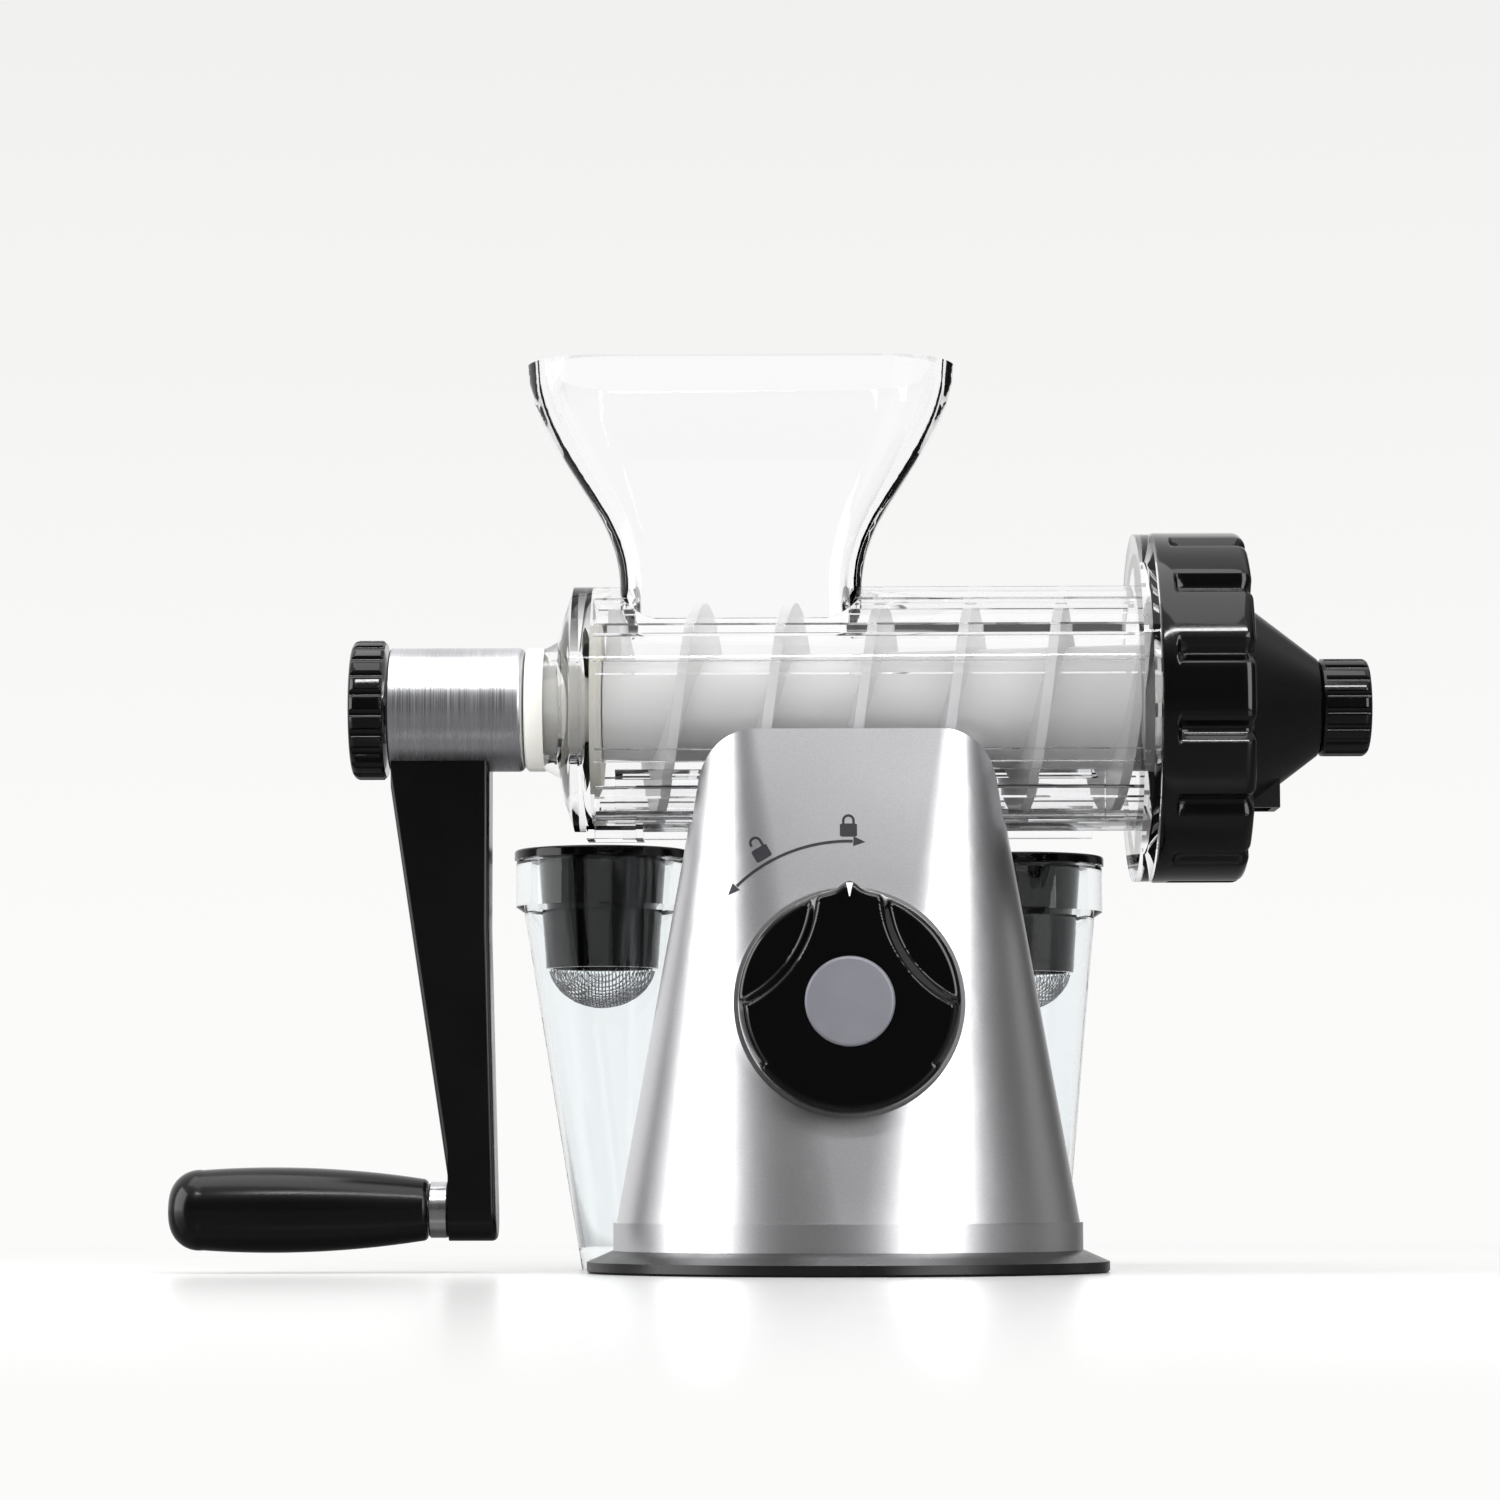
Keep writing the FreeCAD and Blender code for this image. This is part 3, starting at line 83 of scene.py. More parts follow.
class Finish:
    """A material under construction: one Principled shader fed by procedural fields."""

    def __init__(self, name):
        self.material = bpy.data.materials.new(name)
        self.material.use_nodes = True
        self.tree = self.material.node_tree
        self.shader = self.tree.nodes["Principled BSDF"]
        self.place = add(self.tree, "ShaderNodeTexCoord").outputs["Object"]
        self.normal = None

    def stretched(self, scale):
        """Object coordinates, drawn out for grain that runs one way."""
        made = add(self.tree, "ShaderNodeMapping", {"Vector": self.place, "Scale": scale})
        return made.outputs["Vector"]

    def noise(self, scale, detail=2.0, roughness=0.5, stretch=None, distortion=0.0):
        place = self.stretched(stretch) if stretch else self.place
        return add(self.tree, "ShaderNodeTexNoise", {
            "Vector": place, "Scale": scale, "Detail": detail,
            "Roughness": roughness, "Distortion": distortion,
        }).outputs["Fac"]

    def cells(self, scale):
        made = add(self.tree, "ShaderNodeTexVoronoi", {"Vector": self.place, "Scale": scale})
        return made.outputs["Distance"]

    def ramp(self, field, low, high, start=0.3, end=0.7):
        return add(self.tree, "ShaderNodeMapRange", {
            "Value": field, "From Min": start, "From Max": end, "To Min": low, "To Max": high,
        }).outputs["Result"]

    def blend(self, field, first, second):
        """A colour between two others, each a value or a field."""
        made = add(self.tree, "ShaderNodeMix", {0: field, 6: first, 7: second}, data_type="RGBA")
        return made.outputs[2]

    def combine(self, operation, first, second):
        return add(self.tree, "ShaderNodeMath", {0: first, 1: second}, operation=operation).outputs[0]

    def bump(self, height, strength, depth_mm):
        inputs = {"Height": height, "Strength": strength, "Distance": depth_mm * MM}
        if self.normal is not None:
            inputs["Normal"] = self.normal
        self.normal = add(self.tree, "ShaderNodeBump", inputs).outputs["Normal"]
        self.tree.links.new(self.normal, self.shader.inputs["Normal"])

    def set(self, **values):
        """Values of the shader's own sockets, or fields linked to them."""
        for name, value in values.items():
            socket = self.shader.inputs[name.replace("_", " ").title().replace("Ior", "IOR")]
            if isinstance(value, bpy.types.NodeSocket):
                self.tree.links.new(value, socket)
            else:
                socket.default_value = value


# Materials

def silver_paint():
    """Satin silver lacquer over a smooth casting: fine metal flake under a soft clear coat."""
    f = Finish("silver_satin")
    flake = f.cells(2600)
    cloud = f.noise(26, 2)
    tone = f.blend(f.ramp(flake, 0, 1, 0.0, 0.6), colour(0.70, 0.70, 0.725), colour(0.80, 0.80, 0.82))
    f.set(base_color=tone, metallic=1.0, roughness=f.ramp(cloud, 0.33, 0.36))
    f.set(coat_weight=0.1, coat_roughness=0.2)
    f.bump(f.noise(1800, 2), 0.05, 0.02)
    return f.material


def gloss_black(name="gloss_black", level=0.0012, glint=0.34):
    """Polished moulded plastic with faint flow ripples and hairline rubbing."""
    f = Finish(name)
    cloud = f.noise(60, 2)
    rub = f.noise(900, 4, 0.7, stretch=(1, 1, 0.08))
    f.set(base_color=f.blend(cloud, colour(level), colour(level * 1.8, level * 1.8, level * 2.1)))
    f.set(roughness=f.ramp(rub, 0.07, 0.13), specular_ior_level=glint)
    f.set(coat_weight=glint * 0.6, coat_roughness=0.04)
    f.bump(cloud, 0.06, 0.10)
    f.bump(rub, 0.03, 0.01)
    return f.material


def satin_black(name, level=0.003, low=0.26, high=0.36, grain=2200, depth=0.02):
    """Moulded plastic with a fine spark-eroded grain."""
    f = Finish(name)
    cloud = f.noise(45, 3)
    f.set(base_color=f.blend(cloud, colour(level), colour(level * 1.7, level * 1.6, level * 1.8)))
    f.set(roughness=f.ramp(cloud, low, high), specular_ior_level=0.32)
    f.bump(f.noise(grain, 3, 0.6), 0.25, depth)
    return f.material


def rubber():
    f = Finish("suction_rubber")
    cloud = f.noise(70, 4)
    f.set(base_color=f.blend(cloud, colour(0.003), colour(0.008, 0.008, 0.009)))
    f.set(roughness=f.ramp(cloud, 0.24, 0.36), specular_ior_level=0.45)
    f.bump(f.noise(1500, 3, 0.6), 0.2, 0.03)
    return f.material


def clear_plastic(name, tint, depth=0.02):
    """Clear injection moulding: faint flow waves in the surface and a hint of tint in its mass."""
    f = Finish(name)
    wave = f.noise(42, 2, stretch=(0.6, 1, 1), distortion=0.6)
    haze = f.noise(240, 3)
    f.set(base_color=f.blend(haze, tint, shade(tint, 1.01)))
    f.set(transmission_weight=1.0, ior=1.3, roughness=f.ramp(haze, 0.004, 0.02))
    f.bump(wave, 0.12, depth * 4)
    return f.material


def pale_plastic(name, base, spread, low, high, sheen=0.0, milky=0.15):
    """Milky moulded plastic that lets a little light into its mass."""
    f = Finish(name)
    cloud = f.noise(55, 3)
    f.set(base_color=f.blend(cloud, shade(base, 1 - spread), base))
    f.set(roughness=f.ramp(f.noise(300, 3), low, high))
    f.set(subsurface_weight=milky, subsurface_radius=(0.004, 0.004, 0.003), subsurface_scale=1.0)
    f.set(coat_weight=sheen, coat_roughness=0.12)
    f.bump(f.noise(1300, 2), 0.10, 0.015)
    return f.material


def turned_metal(name, base, axis, low, high, line_depth=0.02):
    """Metal turned on a lathe: rings across the axis, some deeper than the rest."""
    f = Finish(name)
    fine = tuple(3600 if k == axis else 18 for k in range(3))
    broad = tuple(520 if k == axis else 9 for k in range(3))
    lines = f.noise(1.0, 3, 0.65, stretch=fine)
    bands = f.noise(1.0, 2, 0.5, stretch=broad)
    f.set(base_color=f.blend(f.ramp(bands, 0, 1), shade(base, 0.86), base), metallic=1.0)
    f.set(roughness=f.ramp(lines, low, high), anisotropic=0.5)
    f.bump(lines, 0.35, line_depth)
    f.bump(bands, 0.15, line_depth)
    return f.material


def bright_steel():
    f = Finish("bright_steel")
    scratch = f.noise(400, 4, 0.7, stretch=(1, 1, 0.15))
    f.set(base_color=f.blend(scratch, colour(0.50, 0.50, 0.52), colour(0.66, 0.66, 0.68)), metallic=1.0)
    f.set(roughness=f.ramp(scratch, 0.16, 0.30))
    f.bump(scratch, 0.12, 0.01)
    return f.material


def cap_grey():
    """Satin grey insert with a fine turned look."""
    f = Finish("cap_grey")
    cloud = f.noise(120, 3)
    f.set(base_color=f.blend(cloud, colour(0.165, 0.165, 0.19), colour(0.195, 0.195, 0.22)))
    f.set(roughness=f.ramp(cloud, 0.38, 0.46), metallic=0.25)
    f.bump(f.noise(2400, 2), 0.2, 0.012)
    return f.material


def ink(name, base):
    """Screen print: slightly uneven cover and a dull surface."""
    f = Finish(name)
    cover = f.noise(900, 3, 0.6)
    f.set(base_color=f.blend(cover, base, shade(base, 1.5)), roughness=f.ramp(cover, 0.4, 0.55))
    f.bump(cover, 0.1, 0.01)
    return f.material


silver = silver_paint()
black_gloss = gloss_black()
black_knob = gloss_black("gloss_black_knob", 0.0008, 0.4)
black_grip = satin_black("grip_black", 0.002, 0.14, 0.22, 900, 0.012)
black_arm = satin_black("arm_black", 0.002, 0.18, 0.26)
black_cone = satin_black("cone_black", 0.0025, 0.24, 0.32)
black_strainer = gloss_black("gloss_black_strainer", 0.0006, 0.22)
black_inner = satin_black("inner_black", 0.008, 0.40, 0.52)
foot_rubber = rubber()
clear_body = clear_plastic("clear_body", colour(0.985, 0.985, 0.99))
clear_cup = clear_plastic("clear_cup", colour(0.94, 0.965, 0.975), 0.012)
cream = pale_plastic("cream_plastic", colour(0.84, 0.835, 0.78), 0.05, 0.32, 0.44)
seal = pale_plastic("seal_silicone", colour(0.82, 0.81, 0.74), 0.06, 0.36, 0.5, milky=0.4)
white = pale_plastic("white_plastic", colour(0.95, 0.95, 0.95), 0.02, 0.28, 0.38, sheen=0.1)
hub_metal = turned_metal("hub_aluminium", colour(0.70, 0.70, 0.73), 0, 0.22, 0.38)
ferrule_metal = turned_metal("ferrule_aluminium", colour(0.78, 0.78, 0.80), 0, 0.14, 0.26)
steel = bright_steel()
grey = cap_grey()
black_ink = ink("black_print", colour(0.012, 0.012, 0.016))
white_ink = ink("white_print", colour(0.80, 0.80, 0.80))

FINISHES = {
    silver: ["base_housing"],
    black_inner: ["base_plate", "lifter_rod", "shaft_bush"],
    foot_rubber: ["suction_foot"],
    black_knob: ["suction_knob"],
    grey: ["knob_cap"],
    clear_body: ["barrel_body"],
    clear_cup: ["cup_left", "cup_right"],
    cream: ["rear_bush"],
    seal: ["shaft_seal", "front_gasket"],
    white: ["auger", "pressure_plug"],
    hub_metal: ["crank_hub"],
    ferrule_metal: ["grip_ferrule"],
    black_arm: ["crank_arm"],
    black_grip: ["handle_grip"],
    black_cone: ["end_cap"],
    black_gloss: ["ring_nut", "adjusting_knob", "retaining_knob"],
    black_strainer: ["strainer_left", "strainer_right"],
    steel: [
        "base_screws", "cam_shaft", "shaft_clip", "knob_screw", "auger_shaft", "knob_washer",
        "grip_axle", "grip_clip", "adjusting_screw", "mesh_left", "mesh_right",
    ],
}


def dress(piece, material):
    piece.data.materials.clear()
    piece.data.materials.append(material)


for material, names in FINISHES.items():
    for name in names:
        dress(cad[name], material)


# Smooth shading of the solids, with true edges kept sharp

SHARP_ANGLE = math.radians(28)
WELD = 2e-6


def smoothing_group(angle):
    """Geometry nodes that shade smooth and keep edges sharper than the angle."""
    group = bpy.data.node_groups.new("smooth_by_angle", "GeometryNodeTree")
    group.interface.new_socket("Geometry", in_out="INPUT", socket_type="NodeSocketGeometry")
    group.interface.new_socket("Geometry", in_out="OUTPUT", socket_type="NodeSocketGeometry")
    source = group.nodes.new("NodeGroupInput")
    sink = group.nodes.new("NodeGroupOutput")
    merge = group.nodes.new("GeometryNodeMergeByDistance")
    merge.inputs["Distance"].default_value = WELD
    faces = group.nodes.new("GeometryNodeSetShadeSmooth")
    edges = group.nodes.new("GeometryNodeSetShadeSmooth")
    edges.domain = "EDGE"
    bend = group.nodes.new("GeometryNodeInputMeshEdgeAngle")
    sharp = group.nodes.new("FunctionNodeCompare")
    sharp.operation = "LESS_EQUAL"
    sharp.inputs["B"].default_value = angle
    link = group.links.new
    link(source.outputs[0], merge.inputs["Geometry"])
    link(merge.outputs["Geometry"], faces.inputs["Geometry"])
    link(faces.outputs["Geometry"], edges.inputs["Geometry"])
    link(bend.outputs["Unsigned Angle"], sharp.inputs["A"])
    link(sharp.outputs["Result"], edges.inputs["Shade Smooth"])
    link(edges.outputs["Geometry"], sink.inputs[0])
    return group


smoothing = smoothing_group(SHARP_ANGLE)
for node in cad.values():
    if "custom_normal" in node.data.attributes:
        node.data.attributes.remove(node.data.attributes["custom_normal"])
    node.modifiers.new("smooth_by_angle", "NODES").node_group = smoothing


# Mesh helpers

def new_piece(name, points, faces, material, body, smooth=True):
    mesh = bpy.data.meshes.new(name)
    mesh.from_pydata([tuple(p) for p in points], [], faces)
    mesh.update()
    piece = bpy.data.objects.new(name, mesh)
    bpy.context.scene.collection.objects.link(piece)
    mesh.polygons.foreach_set("use_smooth", [smooth] * len(mesh.polygons))
    dress(piece, material)
    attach(piece, body)
    return piece


def smoothed(piece):
    piece.modifiers.new("smooth_by_angle", "NODES").node_group = smoothing
    return piece


def tree_of(mesh):
    points = [v.co.copy() for v in mesh.vertices]
    return BVHTree.FromPolygons(points, [tuple(p.vertices) for p in mesh.polygons])


# Knob with finger scoops: a disc whose front falls away softly on both sides of a ridge

KNOB_EDGE = 1.8 * MM
KNOB_STEP = 0.34 * MM
KNOB_TURNS = 320
CAP_GAP = 0.2 * MM
ROUND_STEPS = 8
SCOOP_SIDE, SCOOP_UP, SCOOP_RADIUS = 40.6 * MM, 28.4 * MM, 33.4 * MM
SCOOP_DEPTH = 5.0 * MM
SCOOP_WALL = 3.2 * MM
RIM_SCOOP = 2.6 * MM
# The two ends of the rim's scoop, in radians below the horizontal
RIM_SCOOP_START, RIM_SCOOP_END = -0.3, math.radians(38)
POINTER_SPREAD = math.radians(5.4)
POINTER_FADE = 6

knob_low, knob_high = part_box("suction_knob")
knob_radius = (knob_high.x - knob_low.x) / 2
knob_axis = ((knob_low.x + knob_high.x) / 2, knob_low.z + knob_radius)


def eased(share):
    share = min(max(share, 0.0), 1.0)
    return share * share * (3 - 2 * share)


def scooped(x, z):
    """How far the knob's front lies behind its face, at a place measured from its axis."""
    reach = math.hypot(x, z)
    inside = SCOOP_RADIUS - math.hypot(abs(x) - SCOOP_SIDE, z - SCOOP_UP)
    below = math.atan2(-z, abs(x))
    if below > RIM_SCOOP_START:
        rim = min(reach - (knob_radius - RIM_SCOOP), (RIM_SCOOP_END - below) * knob_radius)
        inside = max(inside, rim)
    return SCOOP_DEPTH * eased(inside / SCOOP_WALL)


def finger_knob():
    cap_low, cap_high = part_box("knob_cap")
    pocket = (cap_high.x - cap_low.x) / 2 + CAP_GAP
    rise = knob_high.z - knob_axis[1] - knob_radius
    count = int((knob_radius - KNOB_EDGE - pocket) / KNOB_STEP)
    flat = [pocket + (knob_radius - KNOB_EDGE - pocket) * k / count for k in range(count + 1)]
    rings = [(pocket, cap_high.y - knob_low.y, False)] + [(r, 0.0, True) for r in flat]
    for k in range(1, ROUND_STEPS + 1):
        angle = math.pi / 2 * k / ROUND_STEPS
        fall = KNOB_EDGE * (1 - math.cos(angle))
        rings.append((knob_radius - KNOB_EDGE * (1 - math.sin(angle)), fall, True))
    points = []
    for r, fall, carved in rings:
        for k in range(KNOB_TURNS):
            angle = 2 * math.pi * k / KNOB_TURNS
            lean = min(angle, 2 * math.pi - angle) / POINTER_SPREAD
            out = r + rise * math.exp(-lean * lean) * (r / knob_radius) ** POINTER_FADE
            x, z = out * math.sin(angle), out * math.cos(angle)
            deep = scooped(x, z) if carved else 0.0
            points.append((knob_axis[0] + x, knob_low.y + fall + deep, knob_axis[1] + z))
    rim = points[-KNOB_TURNS:]
    points += [(x, knob_high.y, z) for x, y, z in rim]
    faces = [tuple(range(KNOB_TURNS))[::-1]]
    faces.append(tuple(len(points) - KNOB_TURNS + k for k in range(KNOB_TURNS)))
    for row in range(len(rings)):
        for k in range(KNOB_TURNS):
            a = row * KNOB_TURNS + k
            b = row * KNOB_TURNS + (k + 1) % KNOB_TURNS
            faces.append((a, b, b + KNOB_TURNS, a + KNOB_TURNS))
    piece = new_piece("finger_knob", points, faces, black_knob, "suction_control")
    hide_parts("suction_knob")
    return smoothed(piece)


knob = finger_knob()


# Ring nut: lobes parted by soft grooves that run out over its front edge

RING_LOBES = 14
RING_TURNS = RING_LOBES * 24
RING_SKIRT = 3.8 * MM
RING_ROUND = 3.0 * MM
RING_BORE = 41.4 * MM
RING_MOUTH = 28.4 * MM
RING_WEB = 4.3 * MM
RING_BEVEL, BEVEL_MIDDLE = 0.6 * MM, 0.2 * MM
SKIRT_GUARD = 0.4 * MM
GROOVE_DEEP = 2.6 * MM
GROOVE_HALF = 3.9 * MM
GROOVE_BACK = 1.4 * MM
GROOVE_STEPS = 8
RUN_OUT, RUN_OUT_STEP = 1.2 * MM, 0.2 * MM
RUN_OUT_STEPS = 6


def ring_rows(low, high, outer):
    """Rows of the ring's section: x, radius, and the groove's share outwards and along the axis."""
    rows = [(low, RING_BORE, 0, 0), (low, outer - RING_BEVEL, 0, 0)]
    rows += [(low + BEVEL_MIDDLE, outer - BEVEL_MIDDLE, 0, 0), (low + RING_BEVEL, outer, 0, 0)]
    rows += [(low + RING_SKIRT - SKIRT_GUARD, outer, 0, 0)]
    rows += [(low + RING_SKIRT + RUN_OUT_STEP * k, outer, eased(k / RUN_OUT_STEPS), 0)
             for k in range(RUN_OUT_STEPS + 1)]
    start = low + RING_SKIRT + RUN_OUT
    end = high - RING_ROUND
    rows += [(start + (end - start) * k / GROOVE_STEPS, outer, 1, 0) for k in range(1, GROOVE_STEPS + 1)]
    for k in range(1, ROUND_STEPS + 1):
        angle = math.pi / 2 * k / ROUND_STEPS
        x, r = end + RING_ROUND * math.sin(angle), outer - RING_ROUND * (1 - math.cos(angle))
        rows.append((x, r, 1, k / ROUND_STEPS))
    for k in range(1, RUN_OUT_STEPS + 1):
        share = eased(1 - k / RUN_OUT_STEPS)
        rows.append((high, outer - RING_ROUND - k * MM, share, share))
    rows += [(high, RING_MOUTH, 0, 0), (high - RING_WEB, RING_MOUTH, 0, 0)]
    rows += [(high - RING_WEB, RING_BORE, 0, 0)]
    return rows


def lobed_ring():
    low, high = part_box("ring_nut")
    outer = (high.z - low.z) / 2
    middle = (low + high) / 2
    rows = ring_rows(low.x, high.x, outer)
    pitch = 2 * math.pi * outer / RING_LOBES
    points, faces = [], []
    for x, r, outwards, along in rows:
        for k in range(RING_TURNS):
            angle = 2 * math.pi * k / RING_TURNS
            share = (k * RING_LOBES / RING_TURNS + 0.5) % 1 - 0.5
            reach = min(abs(share) * pitch / GROOVE_HALF, 1.0)
            groove = 0.5 + 0.5 * math.cos(math.pi * reach)
            radius = r - GROOVE_DEEP * outwards * groove
            place = x - GROOVE_BACK * along * groove
            y, z = middle.y + radius * math.sin(angle), middle.z + radius * math.cos(angle)
            points.append((place, y, z))
    for row in range(len(rows)):
        below = (row + 1) % len(rows)
        for k in range(RING_TURNS):
            a, b = row * RING_TURNS + k, row * RING_TURNS + (k + 1) % RING_TURNS
            c, d = below * RING_TURNS + (k + 1) % RING_TURNS, below * RING_TURNS + k
            faces.append((a, b, c, d))
    piece = new_piece("lobed_ring", points, faces, black_gloss, "ring")
    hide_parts("ring_nut")
    return smoothed(piece)


lobed_ring()


# Print on the housing: a double-headed arrow with an open and a closed padlock at its ends

PRINT_PROUD = 0.07 * MM
PRINT_SUNK = 0.05 * MM
HEAD_STEPS = 6
HEAD_POINT = 0.02 * MM
# A padlock's body height, bow radius and line, as shares of its width
LOCK_HIGH, LOCK_BOW, LOCK_LINE = 0.78, 0.30, 0.15
# The height at its corners and the rise of its bow's sides, as shares of the body's height
LOCK_CORNER = 0.86
LIFT_OPEN, LIFT_CLOSED = 0.42, 0.22
# Where an open bow ends above the body, as a share of that rise
LOCK_GAP = 0.75
LOCK_STEPS = 8
BOW_STEPS = 12


class Print:
    """Flat strokes laid on a solid as seen from the front, gathered into one mesh."""

    def __init__(self, mesh, start_y):
        self.target = tree_of(mesh)
        self.start_y = start_y
        self.points = []
        self.faces = []

    def drop(self, x, z, lift):
        hit, normal, _, _ = self.target.ray_cast(Vector((x, self.start_y, z)), Vector((0, 1, 0)))
        if normal.y > 0:
            normal = -normal
        return hit + normal * lift

    def stroke(self, line, widths, across=4):
        """A band along the line, as wide at each point as the widths say."""
        rows = []
        for k, (x, z) in enumerate(line):
            x0, z0 = line[max(k - 1, 0)]
            x1, z1 = line[min(k + 1, len(line) - 1)]
            length = math.hypot(x1 - x0, z1 - z0)
            side = (-(z1 - z0) / length, (x1 - x0) / length)
            row = []
            for m in range(across + 1):
                shift = widths[k] * (m / across - 0.5)
                row.append((x + side[0] * shift, z + side[1] * shift))
            rows.append(row)
        self.grid(rows)

    def grid(self, rows):
        wide = len(rows[0])
        for lift in (PRINT_PROUD, -PRINT_SUNK):
            start = len(self.points)
            self.points += [self.drop(x, z, lift) for row in rows for x, z in row]
            for i in range(len(rows) - 1):
                for j in range(wide - 1):
                    a = start + i * wide + j
                    quad = (a, a + 1, a + wide + 1, a + wide)
                    self.faces.append(quad if lift < 0 else quad[::-1])
        top = len(self.points) - 2 * len(rows) * wide
        under = top + len(rows) * wide
        ring = list(range(wide))
        ring += [i * wide + wide - 1 for i in range(1, len(rows))]
        ring += [(len(rows) - 1) * wide + j for j in range(wide - 2, -1, -1)]
        ring += [i * wide for i in range(len(rows) - 2, 0, -1)]
        for a, b in zip(ring, ring[1:] + ring[:1]):
            self.faces.append((top + a, top + b, under + b, under + a))


def arc_point(centre, radius, degrees):
    """A point on an arc; the angle is from straight up, positive to the right."""
    angle = math.radians(degrees)
    return (centre[0] + radius * math.sin(angle), centre[1] + radius * math.cos(angle))


def arc_line(centre, radius, start, end, count):
    return [arc_point(centre, radius, start + (end - start) * k / count) for k in range(count + 1)]


def arrow_head(label, tip, back, width):
    """A filled head from its wide back to its tip."""
    shares = [k / HEAD_STEPS for k in range(HEAD_STEPS + 1)]
    line = [tuple(b + (t - b) * k / HEAD_STEPS for b, t in zip(back, tip)) for k in range(HEAD_STEPS + 1)]
    label.stroke(line, [max(width * (1 - share), HEAD_POINT) for share in shares])


def turned_point(centre, angle, x, z):
    """A point given in a small picture's own x and z, turned to the right by the angle."""
    a = math.radians(angle)
    return (centre[0] + x * math.cos(a) + z * math.sin(a), centre[1] - x * math.sin(a) + z * math.cos(a))


def padlock(label, centre, angle, size, opened):
    """A plain padlock drawn upright, then turned by the angle; an open one's bow ends above its body."""
    body_high = size * LOCK_HIGH
    steps = range(LOCK_STEPS + 1)
    places = [(k - LOCK_STEPS / 2) * size / LOCK_STEPS for k in steps]
    body = [turned_point(centre, angle, x, -body_high / 2) for x in places]
    label.stroke(body, [body_high * (LOCK_CORNER if k in (0, LOCK_STEPS) else 1) for k in steps])
    bow = size * LOCK_BOW
    lift = body_high * (LIFT_OPEN if opened else LIFT_CLOSED)
    line = [(-bow, lift * LOCK_GAP if opened else 0), (-bow, lift)]
    for k in range(1, BOW_STEPS):
        turn = math.pi * k / BOW_STEPS
        line.append((-bow * math.cos(turn), lift + bow * math.sin(turn)))
    line += [(bow, lift), (bow, 0)]
    outline = [turned_point(centre, angle, x, z) for x, z in line]
    label.stroke(outline, [size * LOCK_LINE] * len(line), across=2)


# Angles are in degrees from straight up, positive to the right; PRINT_START is a place in front of the part
ARROW_RADIUS = 41.6 * MM
ARROW_LINE = 0.75 * MM
ARROW_HEAD = 2.6 * MM
ARROW_TIPS = (-48, 6)
ARROW_BACKS = (-43.7, 1.7)
ARROW_STEPS = 56
LOCK_RADIUS = 46.2 * MM
LOCK_SIZE = 4.4 * MM
LOCK_OPEN, LOCK_CLOSED = -30, 0
PRINT_START = -0.2

housing_print = Print(cad["base_housing"].data, PRINT_START)
arrow = arc_line(knob_axis, ARROW_RADIUS, ARROW_BACKS[0] + 0.2, ARROW_BACKS[1] - 0.2, ARROW_STEPS)
housing_print.stroke(arrow, [ARROW_LINE] * len(arrow), across=2)
for tip, back in zip(ARROW_TIPS, ARROW_BACKS):
    arrow_head(housing_print, arc_point(knob_axis, ARROW_RADIUS, tip),
               arc_point(knob_axis, ARROW_RADIUS, back), ARROW_HEAD)
for angle, opened in ((LOCK_OPEN, True), (LOCK_CLOSED, False)):
    padlock(housing_print, arc_point(knob_axis, LOCK_RADIUS, angle), angle, LOCK_SIZE, opened)
new_piece("lock_print", housing_print.points, housing_print.faces, black_ink, "base",
          smooth=False)

MARK_BELOW_TOP = 0.7 * MM
MARK_LENGTH = 3.4 * MM
MARK_WIDTH = 1.6 * MM
MARK_TAPER = 0.85
MARK_STEPS = 8

pointer = Print(knob.data, PRINT_START)
mark_top = knob_high.z - MARK_BELOW_TOP
pointer.stroke([(0, mark_top - MARK_LENGTH * k / MARK_STEPS) for k in range(MARK_STEPS + 1)],
               [MARK_WIDTH * (1 - MARK_TAPER * k / MARK_STEPS) for k in range(MARK_STEPS + 1)], across=2)
new_piece("pointer_mark", pointer.points, pointer.faces, white_ink, "suction_control",
          smooth=False)


# Woven domes under the strainers

WIRE = 0.15 * MM
PITCH = 0.95 * MM
WIRE_SIDES = 6
DOME_POWER = 1.15
LAST_WIRE = 0.985
WIRE_REACH = 0.995
WAVE_SHARE = 0.95
SLOPE_STEP = 0.02 * MM
WAY_STEP = 0.05 * MM


